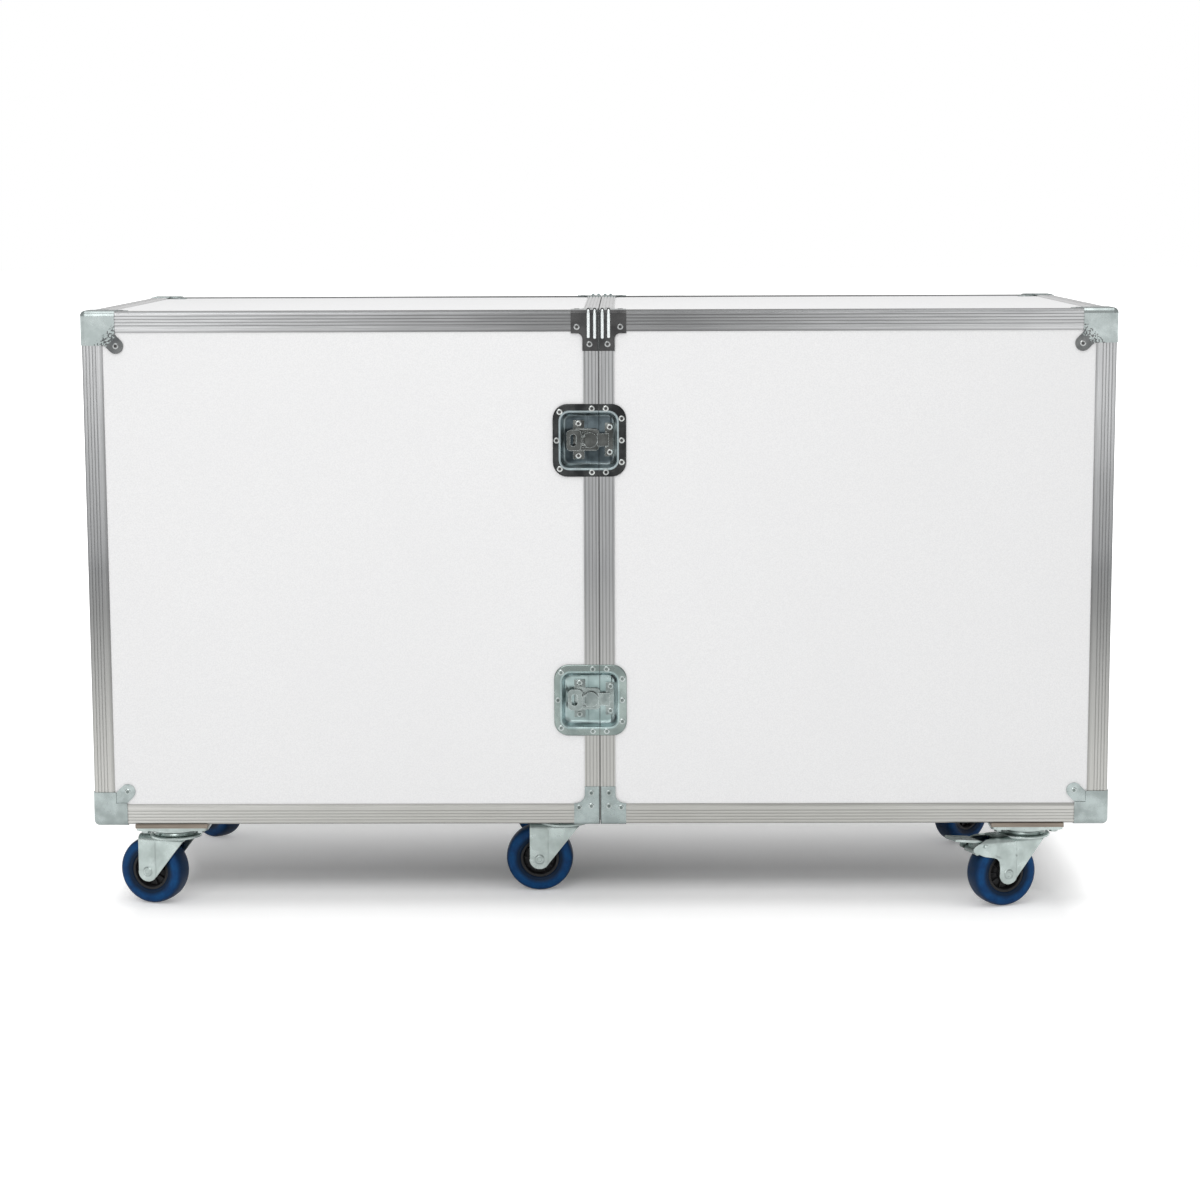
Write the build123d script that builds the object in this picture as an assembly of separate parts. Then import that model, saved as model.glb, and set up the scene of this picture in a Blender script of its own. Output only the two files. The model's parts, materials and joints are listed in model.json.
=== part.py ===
from build123d import *
from math import acos, atan2, cos, degrees, hypot, radians, sin
import os

# Driving dimensions, in millimetres
CASE_LENGTH = 1474.0
CASE_DEPTH = 640.0
BODY_HEIGHT = 745.0
CASTOR_HEIGHT = 128.0
SEAM_GAP = 0.8

# Board, aluminium section and foam
PANEL = 9.5
LEG = 1.8
SLOT = 9.6
INNER_LEG = 1.5
EDGE_LEG_WIDTH = 30.0
EDGE_INNER_REACH = 26.0
EDGE_RADIUS = 4.0
EDGE_GROOVES = 4
EDGE_GROOVE_START = 6.6
EDGE_GROOVE_PITCH = 4.5
EDGE_BEVEL = (4.4, 0.9)
GROOVE_WIDTH = 1.5
GROOVE_DEPTH = 0.8
PANEL_INSET = 13.0
BAR_INSET = 31.0
CLOSING_WIDTH = 22.0
CLOSING_INNER_REACH = 16.0
CLOSING_GROOVES = 4
CLOSING_GROOVE_START = 4.6
TONGUE_WEB = 3.0
GROOVED_WEB = 8.0
TONGUE_LENGTH = 4.0
TONGUE_DEPTHS = (5.0, 8.0)
CHANNEL_DEPTHS = (4.3, 8.7)
CHANNEL_FLOOR = 5.6
FOAM = 20.0
FOAM_EDGE = 26.5
FIT = 0.1

# Corner caps and split braces
CAP = 1.8
CAP_LEG = 48.0
CAP_WIDTH = 31.5
CAP_ROUND = 8.0
EAR_ROOT = 28.0
EAR_CENTRE = 48.8
EAR_WIDTH = 22.0
BRACE = 1.0
# Length and depth of the arm along the case, width and length of the arm on the rim, inner radius
TOP_BRACE = (39.5, 32.6, 23.0, 57.7, 8.0)
LOW_BRACE = (37.8, 30.8, 22.4, 55.6, 13.5)
RIB_RADIUS = 2.6
RIBS = ((5.4, 38.4), (14.4, 37.4))
RIB_LID_REACH = 6.0
TOP_BRACE_RIVETS = ((12.8, 48.0), (31.0, 23.5))
LOW_BRACE_RIVETS = ((12.8, 46.0), (12.8, 26.6), (30.6, 24.5))
RIVET_RADIUS = 4.2
RIVET_HEAD = 0.7
RIVET_BORE = 2.4

# Butterfly latches on the front, measured from the seam, the latch centre and the outer face
LATCH_FROM_TOP = 185.2
LATCH_FROM_BASE = 183.0
LATCH_LEFT = -66.0
LATCH_RIGHT = 39.0
LATCH_HALF_HEIGHT = 52.0
LATCH_RADIUS = 21.0
DISH_LEFT = -54.0
DISH_RIGHT = 25.0
DISH_HALF_HEIGHT = 39.0
DISH_RADIUS = 12.0
DISH_FLOOR = 15.0
SHEET = 1.2
CAM_X = -13.0
CAM_RADIUS = 11.0
CAM_FACE = 3.4
CAM_BACK = 6.6
ECCENTRIC = 4.5
ECCENTRIC_RADIUS = 6.0
HOOK_FRONT = 10.4
HOOK_BACK = 12.4
HOOK_RAISED = 6.9
HOOK_SHEET = 2.0
NOSE_X = (11.9, 14.1)
NOSE_LENGTH = 4.5
YOKE_LEFT = -29.0
YOKE_WALL = 2.2
YOKE_HALF_HEIGHT = 14.8
TONGUE_HALF_HEIGHT = 9.0
WING_HINGE_X = -22.0
WING_HINGE_DEPTH = 1.7
WING_TIP_X = -46.0
WING_HALF_HEIGHT = 15.0
LATCH_PLATE = 2.0
BASE_RIVETS = ((-29.4, 23.0), (-29.4, -23.0))
LIP_RIVETS = ((15.5, 18.0), (15.5, -18.0))
LATCH_RIVETS = ((-56.0, 40.8), (-56.0, -40.8), (-60.5, 0.0), (-10.0, 45.6), (-10.0, -45.6))
KEEPER_RIVETS = ((10.0, 45.6), (10.0, -45.6), (32.6, 31.2), (32.6, -31.2), (32.6, 0.0))

# Recessed spring handle on each end
HANDLE_HEIGHT = 530.0
HANDLE_SIZE = (173.0, 127.0)
HANDLE_DISH = (144.0, 98.0)
HANDLE_PIVOT_UP = 31.0
HANDLE_PIVOT_DEPTH = 7.6
HANDLE_ROUND = (14.0, 11.0)
LUG_SPAN = (54.0, 59.0)
LUG_HALF_HEIGHT = 6.5
BAIL_ROD = 4.0
BAIL_END = 60.0
GRIP_HALF_LENGTH = 34.0
BAIL_DROP = 54.0
BAIL_HALF_WIDTH = 50.0
GRIP_RADIUS = 6.6

# Hinges on the back, at three heights
HINGE_HEIGHTS = (238.0, 500.5, 763.0)
HINGE_OFFSET = 7.0
HINGE_LEAF = 2.5
HINGE_HALF_HEIGHT = 40.0
HINGE_WIDTH = 58.0
KNUCKLE_RADIUS = 5.0
KNUCKLE_SPLIT = 13.7
HINGE_PIN = 2.5
PIN_HEAD = (3.7, 1.5)
HINGE_RIVET_ROWS = (-28.0, 0.0, 28.0)

# Castors: 100 mm wheels on swivel forks
WHEEL_RADIUS = 50.0
TYRE_WIDTH = 36.0
HUB_RADIUS = 29.0
TRAIL = 36.0
FORK_INNER = 21.0
FORK_SHEET = 2.5
FORK_FOOT = 15.0
CROWN_LOW = 104.0
CROWN_SHEET = 3.0
CROWN_RADIUS = 38.0
FORK_RACE_RADIUS = 31.0
TOP_RACE_RADIUS = 36.0
TOE_X = -26.0
KING_PIN_HEAD = (9.5, 4.1)
RACE_GAP = 0.3
RACE_FACE = 112.2
PLATE_SIZE = (105.0, 85.0)
PLATE_LOW = 118.0
PLATE_HIGH = 122.0
BOLT_SPACING = (80.0, 50.0)
BOLT_RADIUS = 4.0
BOLT_HEAD = (6.5, 5.3)
AXLE_RADIUS = 4.0
AXLE_HEAD_RADIUS = 7.5
AXLE_HEAD = 1.8
SLEEVE_RADIUS = 6.0
PEDAL_PIVOT = (74.0, 94.0)
PEDAL_PRESS = 20.0
PEDAL_HALF_WIDTH = 17.0
BRAKE_PIN = 3.0
SHOE_ARM = 14.0
SHOE_RADIUS = 4.0

# Worked out from the driving dimensions
HALF_LENGTH = CASE_LENGTH / 2
HALF_DEPTH = CASE_DEPTH / 2
BASE_Z = CASTOR_HEIGHT
TOP_Z = CASTOR_HEIGHT + BODY_HEIGHT
MIDDLE_Z = (BASE_Z + TOP_Z) / 2
SEAM = SEAM_GAP / 2
PANEL_BACK = LEG + PANEL
INNER_FACE = LEG + SLOT
INNER_BACK = INNER_FACE + INNER_LEG
FOAM_FACE = INNER_FACE + FOAM
HINGE_Y = HALF_DEPTH + HINGE_OFFSET
LATCH_HEIGHTS = {"upper": TOP_Z - LATCH_FROM_TOP, "lower": BASE_Z + LATCH_FROM_BASE}
SIDES = {"left": -1, "right": 1}

# Each castor: side of the case, swivel axis on plan, direction of the trail, and whether it brakes
CASTORS = {
    "left_front": (-1, (-626.0, -277.5), 161.0, False),
    "left_middle": (-1, (-56.0, -191.0), 180.0, False),
    "left_back": (-1, (-605.0, 144.0), 138.0, False),
    "left_back_middle": (-1, (-56.0, 144.0), 180.0, False),
    "right_front": (1, (622.0, -277.5), 201.0, True),
    "right_back": (1, (605.0, 144.0), 222.0, True),
}


def block(x0, x1, y0, y1, z0, z1):
    """A box between two values on each axis, given in either order."""
    centre = ((x0 + x1) / 2, (y0 + y1) / 2, (z0 + z1) / 2)
    return Pos(*centre) * Box(abs(x1 - x0), abs(y1 - y0), abs(z1 - z0))


def rod(radius, start, end):
    """A round bar from one point to another."""
    run = Vector(*end) - Vector(*start)
    return extrude(Plane(origin=start, z_dir=run) * Circle(radius), run.length)


def facing_plate(x0, x1, z0, z1, radius, depth0, depth1):
    """A plate that faces the front, with round corners, between two depths."""
    outline = Pos((x0 + x1) / 2, (z0 + z1) / 2) * RectangleRounded(x1 - x0, z1 - z0, radius)
    return extrude(Plane.XZ.offset(-depth0) * outline, -(depth1 - depth0))


def facing_disc(radius, x, z, depth0, depth1):
    """A disc that faces the front, between two depths."""
    return rod(radius, (x, depth0, z), (x, depth1, z))


def solids_of(*shapes):
    """Every separate solid in the given shapes, as one list."""
    found = []
    for shape in shapes:
        found.extend(shape.solids())
    return found


# Aluminium edge section

def edge_section():
    """The double-angle section: two ribbed legs outside, two inside and a web between."""
    legs = Pos(EDGE_LEG_WIDTH / 2, LEG / 2) * Rectangle(EDGE_LEG_WIDTH, LEG)
    legs += Pos(LEG / 2, EDGE_LEG_WIDTH / 2) * Rectangle(LEG, EDGE_LEG_WIDTH)
    reach = EDGE_INNER_REACH - INNER_FACE
    middle = (EDGE_INNER_REACH + INNER_FACE) / 2
    thin = INNER_FACE + INNER_LEG / 2
    legs += Pos(middle, thin) * Rectangle(reach, INNER_LEG)
    legs += Pos(thin, middle) * Rectangle(INNER_LEG, reach)
    near = LEG - 0.8
    legs += make_face(Polyline((near, near + 1.6), (near + 1.6, near),
                               (INNER_BACK - 0.4, INNER_BACK - 2.0),
                               (INNER_BACK - 2.0, INNER_BACK - 0.4), close=True))
    corner = legs.vertices().sort_by_distance((0, 0, 0))[0]
    legs = fillet(corner, EDGE_RADIUS)
    for index in range(EDGE_GROOVES):
        along = EDGE_GROOVE_START + EDGE_GROOVE_PITCH * index
        legs -= Pos(along, GROOVE_DEPTH / 2) * Rectangle(GROOVE_WIDTH, GROOVE_DEPTH)
        legs -= Pos(GROOVE_DEPTH / 2, along) * Rectangle(GROOVE_DEPTH, GROOVE_WIDTH)
    bevel_start, end = EDGE_LEG_WIDTH - EDGE_BEVEL[0], EDGE_LEG_WIDTH
    legs -= make_face(Polyline((bevel_start, 0), (end, 0), (end, EDGE_BEVEL[1]), close=True))
    legs -= make_face(Polyline((0, bevel_start), (0, end), (EDGE_BEVEL[1], end), close=True))
    return legs


def edge_bar(start, run, inward_a, inward_b, length):
    """One straight bar of the edge section from a point on a case edge."""
    turn = Vector(*inward_a).cross(Vector(*inward_b)).dot(Vector(*run))
    x_dir = inward_a if turn > 0 else inward_b
    return extrude(Plane(origin=start, x_dir=x_dir, z_dir=run) * edge_section(), length)


def edge_bars(side):
    """The eight bars round one half: four lengthwise, two across and two upright."""
    end_x = side * HALF_LENGTH
    inward_x = (-side, 0, 0)
    bars = []
    for sign_z, z in ((-1, BASE_Z), (1, TOP_Z)):
        inward_z = (0, 0, -sign_z)
        for sign_y in (-1, 1):
            start = (end_x - side * BAR_INSET, sign_y * HALF_DEPTH, z)
            length = HALF_LENGTH - BAR_INSET - CLOSING_WIDTH - FIT
            bars.append(edge_bar(start, inward_x, (0, -sign_y, 0), inward_z, length))
        across = (end_x, -HALF_DEPTH + BAR_INSET, z)
        bars.append(edge_bar(across, (0, 1, 0), inward_x, inward_z, CASE_DEPTH - 2 * BAR_INSET))
    for sign_y in (-1, 1):
        foot = (end_x, sign_y * HALF_DEPTH, BASE_Z + BAR_INSET)
        height = BODY_HEIGHT - 2 * BAR_INSET
        bars.append(edge_bar(foot, (0, 0, 1), inward_x, (0, -sign_y, 0), height))
    return solids_of(*[bar - bolt_holes(side) for bar in bars])


# Closing frame at the split

def rim(side, near, far, depth0, depth1, radius=0.0):
    """A rectangular ring round the open mouth, between two distances from the seam plane."""
    width = CASE_DEPTH - 2 * depth0
    height = BODY_HEIGHT - 2 * depth0
    outer = RectangleRounded(width, height, radius) if radius else Rectangle(width, height)
    inner = Rectangle(CASE_DEPTH - 2 * depth1, BODY_HEIGHT - 2 * depth1)
    mouth = Plane(origin=(side * near, 0, MIDDLE_Z), x_dir=(0, 1, 0), z_dir=(1, 0, 0))
    return extrude(mouth * (outer - inner), side * (far - near))


def mitre_wedge(sign, upright):
    """The part of the frame that one bar keeps, between the two mitres at its ends."""
    reach = 60.0
    long_half = (BODY_HEIGHT if upright else CASE_DEPTH) / 2
    out = (CASE_DEPTH if upright else BODY_HEIGHT) / 2
    corners = [(-long_half - reach, out + reach), (long_half + reach, out + reach),
               (long_half - reach, out - reach), (-long_half + reach, out - reach)]
    if upright:
        points = [(sign * far, MIDDLE_Z + along) for along, far in corners]
    else:
        points = [(along, MIDDLE_Z + sign * far) for along, far in corners]
    outline = make_face(Polyline(*[(0, y, z) for y, z in points], close=True))
    return extrude(outline, 2 * reach, both=True, dir=(1, 0, 0))


def closing_frame(side):
    """The mitred frame of four closing bars, tongued on the left and grooved on the right."""
    web = TONGUE_WEB if side < 0 else GROOVED_WEB
    frame = rim(side, SEAM, CLOSING_WIDTH, 0.0, LEG, EDGE_RADIUS)
    frame += rim(side, SEAM, SEAM + web, LEG - 0.3, INNER_BACK)
    frame += rim(side, SEAM, CLOSING_INNER_REACH, INNER_FACE, INNER_BACK)
    if side < 0:
        frame += rim(side, -TONGUE_LENGTH, SEAM + 1.0, *TONGUE_DEPTHS)
    else:
        frame -= rim(side, 0.0, CHANNEL_FLOOR, *CHANNEL_DEPTHS)
    pitch = (CLOSING_WIDTH - 2.0) / CLOSING_GROOVES
    for index in range(CLOSING_GROOVES):
        middle = CLOSING_GROOVE_START + pitch * index
        near = middle - GROOVE_WIDTH / 2
        frame -= rim(side, near, near + GROOVE_WIDTH, -1.0, GROOVE_DEPTH)
    for height in LATCH_HEIGHTS.values():
        frame -= latch_recess(height, CLOSING_WIDTH + 1.0)
    frame -= bolt_holes(side)
    wedges = [mitre_wedge(sign, upright) for sign in (-1, 1) for upright in (False, True)]
    return solids_of(*[frame & wedge for wedge in wedges])


# Boards and foam

def latch_recess(height, reach):
    """The space that a latch dish takes out of the front, out to a distance from the seam."""
    left = max(-reach, DISH_LEFT - SHEET - 1.0)
    right = min(reach, DISH_RIGHT + SHEET + 1.0)
    half = DISH_HALF_HEIGHT + SHEET + 0.4
    back = -HALF_DEPTH + DISH_FLOOR + SHEET + 0.4
    return block(left, right, -HALF_DEPTH - 5.0, back, height - half, height + half)


def handle_recess(side):
    """The space that a handle dish takes out of an end."""
    half_y = HANDLE_DISH[0] / 2 + SHEET + 0.4
    half_z = HANDLE_DISH[1] / 2 + SHEET + 0.4
    back = side * (HALF_LENGTH - DISH_FLOOR - SHEET - 0.4)
    outer = side * (HALF_LENGTH + 5.0)
    return block(outer, back, -half_y, half_y, HANDLE_HEIGHT - half_z, HANDLE_HEIGHT + half_z)


def bolt_places(side):
    """Every castor bolt of one half, on plan."""
    places = []
    for castor_side, (x, y), trail, brakes in CASTORS.values():
        if castor_side == side:
            places.extend((x + i * BOLT_SPACING[0] / 2, y + j * BOLT_SPACING[1] / 2)
                          for i in (-1, 1) for j in (-1, 1))
    return places


def bolt_holes(side):
    """Clearance for the castor bolts through the plates, packers, base board and bars."""
    hole = BOLT_RADIUS + FIT
    return Part() + [rod(hole, (x, y, PLATE_LOW - 1), (x, y, BASE_Z + PANEL_BACK + 0.1))
                     for x, y in bolt_places(side)]


def board(side, face):
    """One laminated board of a half, with its cut-outs."""
    web = TONGUE_WEB if side < 0 else GROOVED_WEB
    near = side * (SEAM + web + FIT)
    far = side * (HALF_LENGTH - PANEL_INSET)
    inset_y = HALF_DEPTH - PANEL_INSET
    low, high = BASE_Z + PANEL_INSET, TOP_Z - PANEL_INSET
    if face == "end":
        outer, inner = side * (HALF_LENGTH - LEG), side * (HALF_LENGTH - PANEL_BACK)
        return block(outer, inner, -inset_y, inset_y, low, high) - handle_recess(side)
    if face == "top":
        return block(near, far, -inset_y, inset_y, TOP_Z - PANEL_BACK, TOP_Z - LEG)
    if face == "base":
        return block(near, far, -inset_y, inset_y, BASE_Z + LEG, BASE_Z + PANEL_BACK) - bolt_holes(side)
    sign = -1 if face == "front" else 1
    sheet = block(near, far, sign * (HALF_DEPTH - LEG), sign * (HALF_DEPTH - PANEL_BACK), low, high)
    if face == "front":
        for height in LATCH_HEIGHTS.values():
            sheet -= latch_recess(height, HALF_LENGTH)
    return sheet


def foam_lining(side):
    """Five flat pads that line one half, cut away behind the latch and handle dishes."""
    near = side * (CLOSING_INNER_REACH + 0.5)
    edge_x = side * (HALF_LENGTH - FOAM_EDGE)
    wall_x = side * (HALF_LENGTH - FOAM_FACE - FIT)
    edge_y = HALF_DEPTH - FOAM_EDGE
    low, high = BASE_Z + FOAM_FACE + FIT, TOP_Z - FOAM_FACE - FIT
    base = block(near, edge_x, -edge_y, edge_y, BASE_Z + INNER_FACE, BASE_Z + FOAM_FACE)
    top = block(near, edge_x, -edge_y, edge_y, TOP_Z - FOAM_FACE, TOP_Z - INNER_FACE)
    pads = [base, top]
    end = block(side * (HALF_LENGTH - INNER_FACE), side * (HALF_LENGTH - FOAM_FACE), -edge_y, edge_y, low, high)
    pads.append(end - handle_recess(side))
    for sign in (-1, 1):
        wall = block(near, wall_x, sign * (HALF_DEPTH - INNER_FACE), sign * (HALF_DEPTH - FOAM_FACE), low, high)
        for height in LATCH_HEIGHTS.values():
            wall -= latch_recess(height, HALF_LENGTH)
        pads.append(wall)
    return solids_of(*pads)


# Rivets and bolts

def rivet(position, outward):
    """The head of a hollow rivet, standing on the sheet that it holds."""
    base = Plane(origin=position, z_dir=outward)
    head = extrude(base * Circle(RIVET_RADIUS), RIVET_HEAD)
    top = head.faces().sort_by(Axis(position, outward))[-1]
    head = chamfer(top.edges(), RIVET_HEAD * 0.6, RIVET_HEAD * 1.4)
    return head - extrude(base.offset(0.2) * Circle(RIVET_BORE), RIVET_HEAD)


def corner_point(signs, inward):
    """A point given by its distances in from one of the eight case corners."""
    z = BASE_Z if signs[2] < 0 else TOP_Z
    corner = (signs[0] * HALF_LENGTH, signs[1] * HALF_DEPTH, z)
    return tuple(at - sign * step for at, sign, step in zip(corner, signs, inward))


def cap_rivets(side):
    """One rivet through each ear of the four corner caps."""
    heads = []
    for sign_y in (-1, 1):
        for sign_z in (-1, 1):
            signs = (side, sign_y, sign_z)
            for axis in range(3):
                inward = [EAR_CENTRE] * 3
                inward[axis] = LEG - CAP
                outward = [0, 0, 0]
                outward[axis] = signs[axis]
                heads.append(rivet(corner_point(signs, inward), tuple(outward)))
    return heads


def brace_rivets(side):
    """The rivets of the four braces at the split, on both of their faces."""
    heads = []
    for sign_y in (-1, 1):
        for sign_z, spots in ((-1, LOW_BRACE_RIVETS), (1, TOP_BRACE_RIVETS)):
            edge_z = TOP_Z if sign_z > 0 else BASE_Z
            for across, along in spots:
                wall = (side * across, sign_y * (HALF_DEPTH + BRACE), edge_z - sign_z * along)
                heads.append(rivet(wall, (0, sign_y, 0)))
                lid = (side * across, sign_y * (HALF_DEPTH - along), edge_z + sign_z * BRACE)
                heads.append(rivet(lid, (0, 0, sign_z)))
    return heads


def latch_rivets(side):
    """The rivets round the latch dishes and those of the plates inside them."""
    rim_spots = LATCH_RIVETS if side < 0 else KEEPER_RIVETS
    plate_spots = BASE_RIVETS if side < 0 else LIP_RIVETS
    heads = []
    for height in LATCH_HEIGHTS.values():
        for x, z in rim_spots:
            heads.append(rivet((x, -HALF_DEPTH - SHEET, height + z), (0, -1, 0)))
        for x, z in plate_spots:
            heads.append(rivet((x, -HALF_DEPTH + DISH_FLOOR - LATCH_PLATE, height + z), (0, -1, 0)))
    return heads


def handle_rivets(side):
    """Eight rivets round the flange of a handle dish."""
    reach_y, reach_z = HANDLE_SIZE[0] / 2 - 7.0, HANDLE_SIZE[1] / 2 - 7.0
    spots = [(i * reach_y, j * reach_z) for i in (-1, 0, 1) for j in (-1, 1)]
    spots += [(i * reach_y, 0.0) for i in (-1, 1)]
    x = side * (HALF_LENGTH - LEG + SHEET)
    return [rivet((x, y, HANDLE_HEIGHT + z), (side, 0, 0)) for y, z in spots]


def hinge_rivets(side):
    """Six rivets in each hinge leaf."""
    heads = []
    for height in HINGE_HEIGHTS:
        for along in HINGE_RIVET_ROWS:
            for x, y in ((14.5, HALF_DEPTH + HINGE_LEAF), (46.0, HALF_DEPTH + HINGE_LEAF - LEG)):
                heads.append(rivet((side * x, y, height + along), (0, 1, 0)))
    return heads


def castor_bolts(side):
    """Hexagon bolts that come up through the castor plates into the base board."""
    bolts = []
    for x, y in bolt_places(side):
        radius, height = BOLT_HEAD
        head = Pos(x, y, PLATE_LOW - height) * extrude(RegularPolygon(radius, 6), height)
        bolts.append(head + rod(BOLT_RADIUS, (x, y, PLATE_LOW), (x, y, BASE_Z + PANEL_BACK)))
    return bolts


def fasteners(side):
    """Every rivet and bolt of one half."""
    groups = (cap_rivets(side), brace_rivets(side), latch_rivets(side), handle_rivets(side),
              hinge_rivets(side), castor_bolts(side))
    return solids_of(*[item for group in groups for item in group])


# Corner caps and split braces

def edges_on_two(shape, low, axes):
    """The edges of a box that lie on its low faces along two of the given axes."""
    def on_low(edge):
        centre = tuple(edge.center())
        return sum(abs(centre[axis] - low) < 0.01 for axis in axes) >= 2
    return [edge for edge in shape.edges() if on_low(edge)]


def cap_ear(axis):
    """The ear that lies on the board of one face, joggled down from the cap."""
    middle = (EAR_ROOT + EAR_CENTRE) / 2
    span = hypot(EAR_CENTRE - EAR_ROOT, EAR_CENTRE - EAR_ROOT)
    slot = Pos(middle, middle) * SlotCenterToCenter(span, EAR_WIDTH, rotation=45)
    ear = extrude(Pos(0, 0, -CAP) * slot, CAP + LEG)
    step = EDGE_LEG_WIDTH + FIT
    ear &= block(step, 90, step, 90, -CAP, LEG)
    ear -= block(step + CAP, 90, step + CAP, 90, -CAP - 1, LEG - CAP)
    outward = [0, 0, 0]
    outward[axis] = 1
    across = [0, 0, 0]
    across[(axis + 1) % 3] = 1
    return Plane(origin=(0, 0, 0), x_dir=across, z_dir=outward).location * ear


def corner_cap():
    """A three-sided pressed cap, with the case corner at the origin and the case towards + + +."""
    outer = block(-CAP, CAP_LEG, -CAP, CAP_LEG, -CAP, CAP_LEG)
    outer = fillet(edges_on_two(outer, -CAP, (0, 1, 2)), CAP_ROUND)
    inner = block(0, 99, 0, 99, 0, 99)
    inner = fillet(edges_on_two(inner, 0, (0, 1, 2)), EDGE_RADIUS)
    cap = outer - inner
    for axis in range(3):
        span = [(CAP_WIDTH, 99.0)] * 3
        span[axis] = (-9.0, 99.0)
        cap -= block(*[value for pair in span for value in pair])
    for axis in range(3):
        cap += cap_ear(axis)
    return cap


def at_corner(shape, signs):
    """A shape drawn for the low left front corner, put on the corner with the given signs."""
    for sign, plane in zip(signs, (Plane.YZ, Plane.XZ, Plane.XY)):
        if sign > 0:
            shape = mirror(shape, about=plane)
    return Pos(*corner_point(signs, (0, 0, 0))) * shape


def split_brace(ribbed):
    """A two-sided brace at the split: X runs from the seam, Y and Z in from the case edge."""
    length, depth, narrow, drop, inner_radius = TOP_BRACE if ribbed else LOW_BRACE
    outer = block(SEAM + 0.2, length, -BRACE, drop, -BRACE, drop)
    outer = fillet(edges_on_two(outer, -BRACE, (1, 2)), EDGE_RADIUS + BRACE)
    inner = block(-9, 99, 0, 99, 0, 99)
    inner = fillet(edges_on_two(inner, 0, (1, 2)), EDGE_RADIUS)
    if ribbed:
        for across, reach in RIBS:
            path = FilletPolyline((across, -BRACE, reach), (across, -BRACE, -BRACE),
                                  (across, RIB_LID_REACH, -BRACE), radius=EDGE_RADIUS + BRACE)
            outline = Plane(origin=path @ 0, z_dir=path % 0) * Circle(RIB_RADIUS)
            outer += sweep(outline, path)
            outer += Pos(*(path @ 0)) * Sphere(RIB_RADIUS)
        outer -= block(-9, 99, EDGE_RADIUS + BRACE, 99, -9, -BRACE)
    brace = outer - inner
    for axis, spans in (("Y", ((depth, 99), (-9, 99))), ("Z", ((-9, 99), (depth, 99)))):
        tool = block(narrow, 99, *spans[0], *spans[1])
        low = [edge for edge in tool.edges()
               if abs(edge.center().X - narrow) < 0.01 and abs(getattr(edge.center(), axis) - depth) < 0.01]
        brace -= fillet(low, inner_radius)
    return brace


def split_braces(side):
    """The four braces of one half: ribbed ones on top, plain ones below."""
    braces = []
    for sign_y in (-1, 1):
        for sign_z in (-1, 1):
            brace = split_brace(sign_z > 0)
            for sign, plane in ((-side, Plane.YZ), (sign_y, Plane.XZ), (sign_z, Plane.XY)):
                if sign > 0:
                    brace = mirror(brace, about=plane)
            edge_z = TOP_Z if sign_z > 0 else BASE_Z
            braces.append(Pos(0, sign_y * HALF_DEPTH, edge_z) * brace)
    return solids_of(*braces)


# Butterfly latch, drawn with the outer face at Y 0, the seam at X 0 and the latch centre at Z 0

def latch_pressing(side):
    """The dish and flange on one side of the seam."""
    half = LATCH_HALF_HEIGHT
    flange = facing_plate(LATCH_LEFT, LATCH_RIGHT, -half, half, LATCH_RADIUS, -SHEET, 0.0)
    skirt = facing_plate(LATCH_LEFT, LATCH_RIGHT, -half, half, LATCH_RADIUS, 0.0, LEG)
    skirt -= facing_plate(LATCH_LEFT + SHEET, LATCH_RIGHT - SHEET, SHEET - half, half - SHEET,
                          LATCH_RADIUS - SHEET, -1.0, LEG + 1)
    skirt -= block(-CLOSING_WIDTH - FIT, CLOSING_WIDTH + FIT, -1, LEG + 1, -99, 99)
    dish_half = DISH_HALF_HEIGHT
    outer = facing_plate(DISH_LEFT - SHEET, DISH_RIGHT + SHEET, -dish_half - SHEET, dish_half + SHEET,
                         DISH_RADIUS + SHEET, -SHEET, DISH_FLOOR + SHEET)
    hollow = facing_plate(DISH_LEFT, DISH_RIGHT, -dish_half, dish_half, DISH_RADIUS, -9.0, DISH_FLOOR)
    pressing = flange + skirt + outer - hollow
    if side < 0:
        return pressing & block(-99, -SEAM, -9, 30, -99, 99)
    return pressing & block(SEAM, 99, -9, 30, -99, 99)


def latch_base():
    """The plate on the floor of the dish that carries the cam."""
    plate = block(-37, -21, DISH_FLOOR - LATCH_PLATE, DISH_FLOOR, -28, 28)
    plate += block(-32, -3, DISH_FLOOR - LATCH_PLATE, DISH_FLOOR, -16, 16)
    return plate - facing_disc(AXLE_RADIUS + FIT, CAM_X, 0, 0, DISH_FLOOR + 1)


def latch_keeper():
    """The plate and raised lip that the hook catches behind."""
    plate = block(8.5, 21.0, DISH_FLOOR - LATCH_PLATE, DISH_FLOOR, -24, 24)
    lip = block(9.5, 11.5, HOOK_RAISED + 2.3, DISH_FLOOR - LATCH_PLATE, -11, 11)
    return plate + lip


def latch_cam():
    """The turning disc with its eccentric, the ears for the wing and their pin."""
    disc = facing_disc(CAM_RADIUS, CAM_X, 0, CAM_FACE, CAM_BACK)
    disc += facing_disc(ECCENTRIC_RADIUS, CAM_X - ECCENTRIC, 0, CAM_BACK, HOOK_BACK + 0.4)
    disc += facing_disc(AXLE_RADIUS, CAM_X, 0, HOOK_BACK + 0.4, DISH_FLOOR - 0.2)
    for sign in (-1, 1):
        disc += block(WING_HINGE_X - 1.7, WING_HINGE_X + 1.7, 0.2, CAM_FACE + 0.5, sign * 5.2, sign * 7.4)
    pin_ends = ((WING_HINGE_X, WING_HINGE_DEPTH, -7.4), (WING_HINGE_X, WING_HINGE_DEPTH, 7.4))
    pin = rod(0.8, *pin_ends)
    return [disc - pin, pin]


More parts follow.
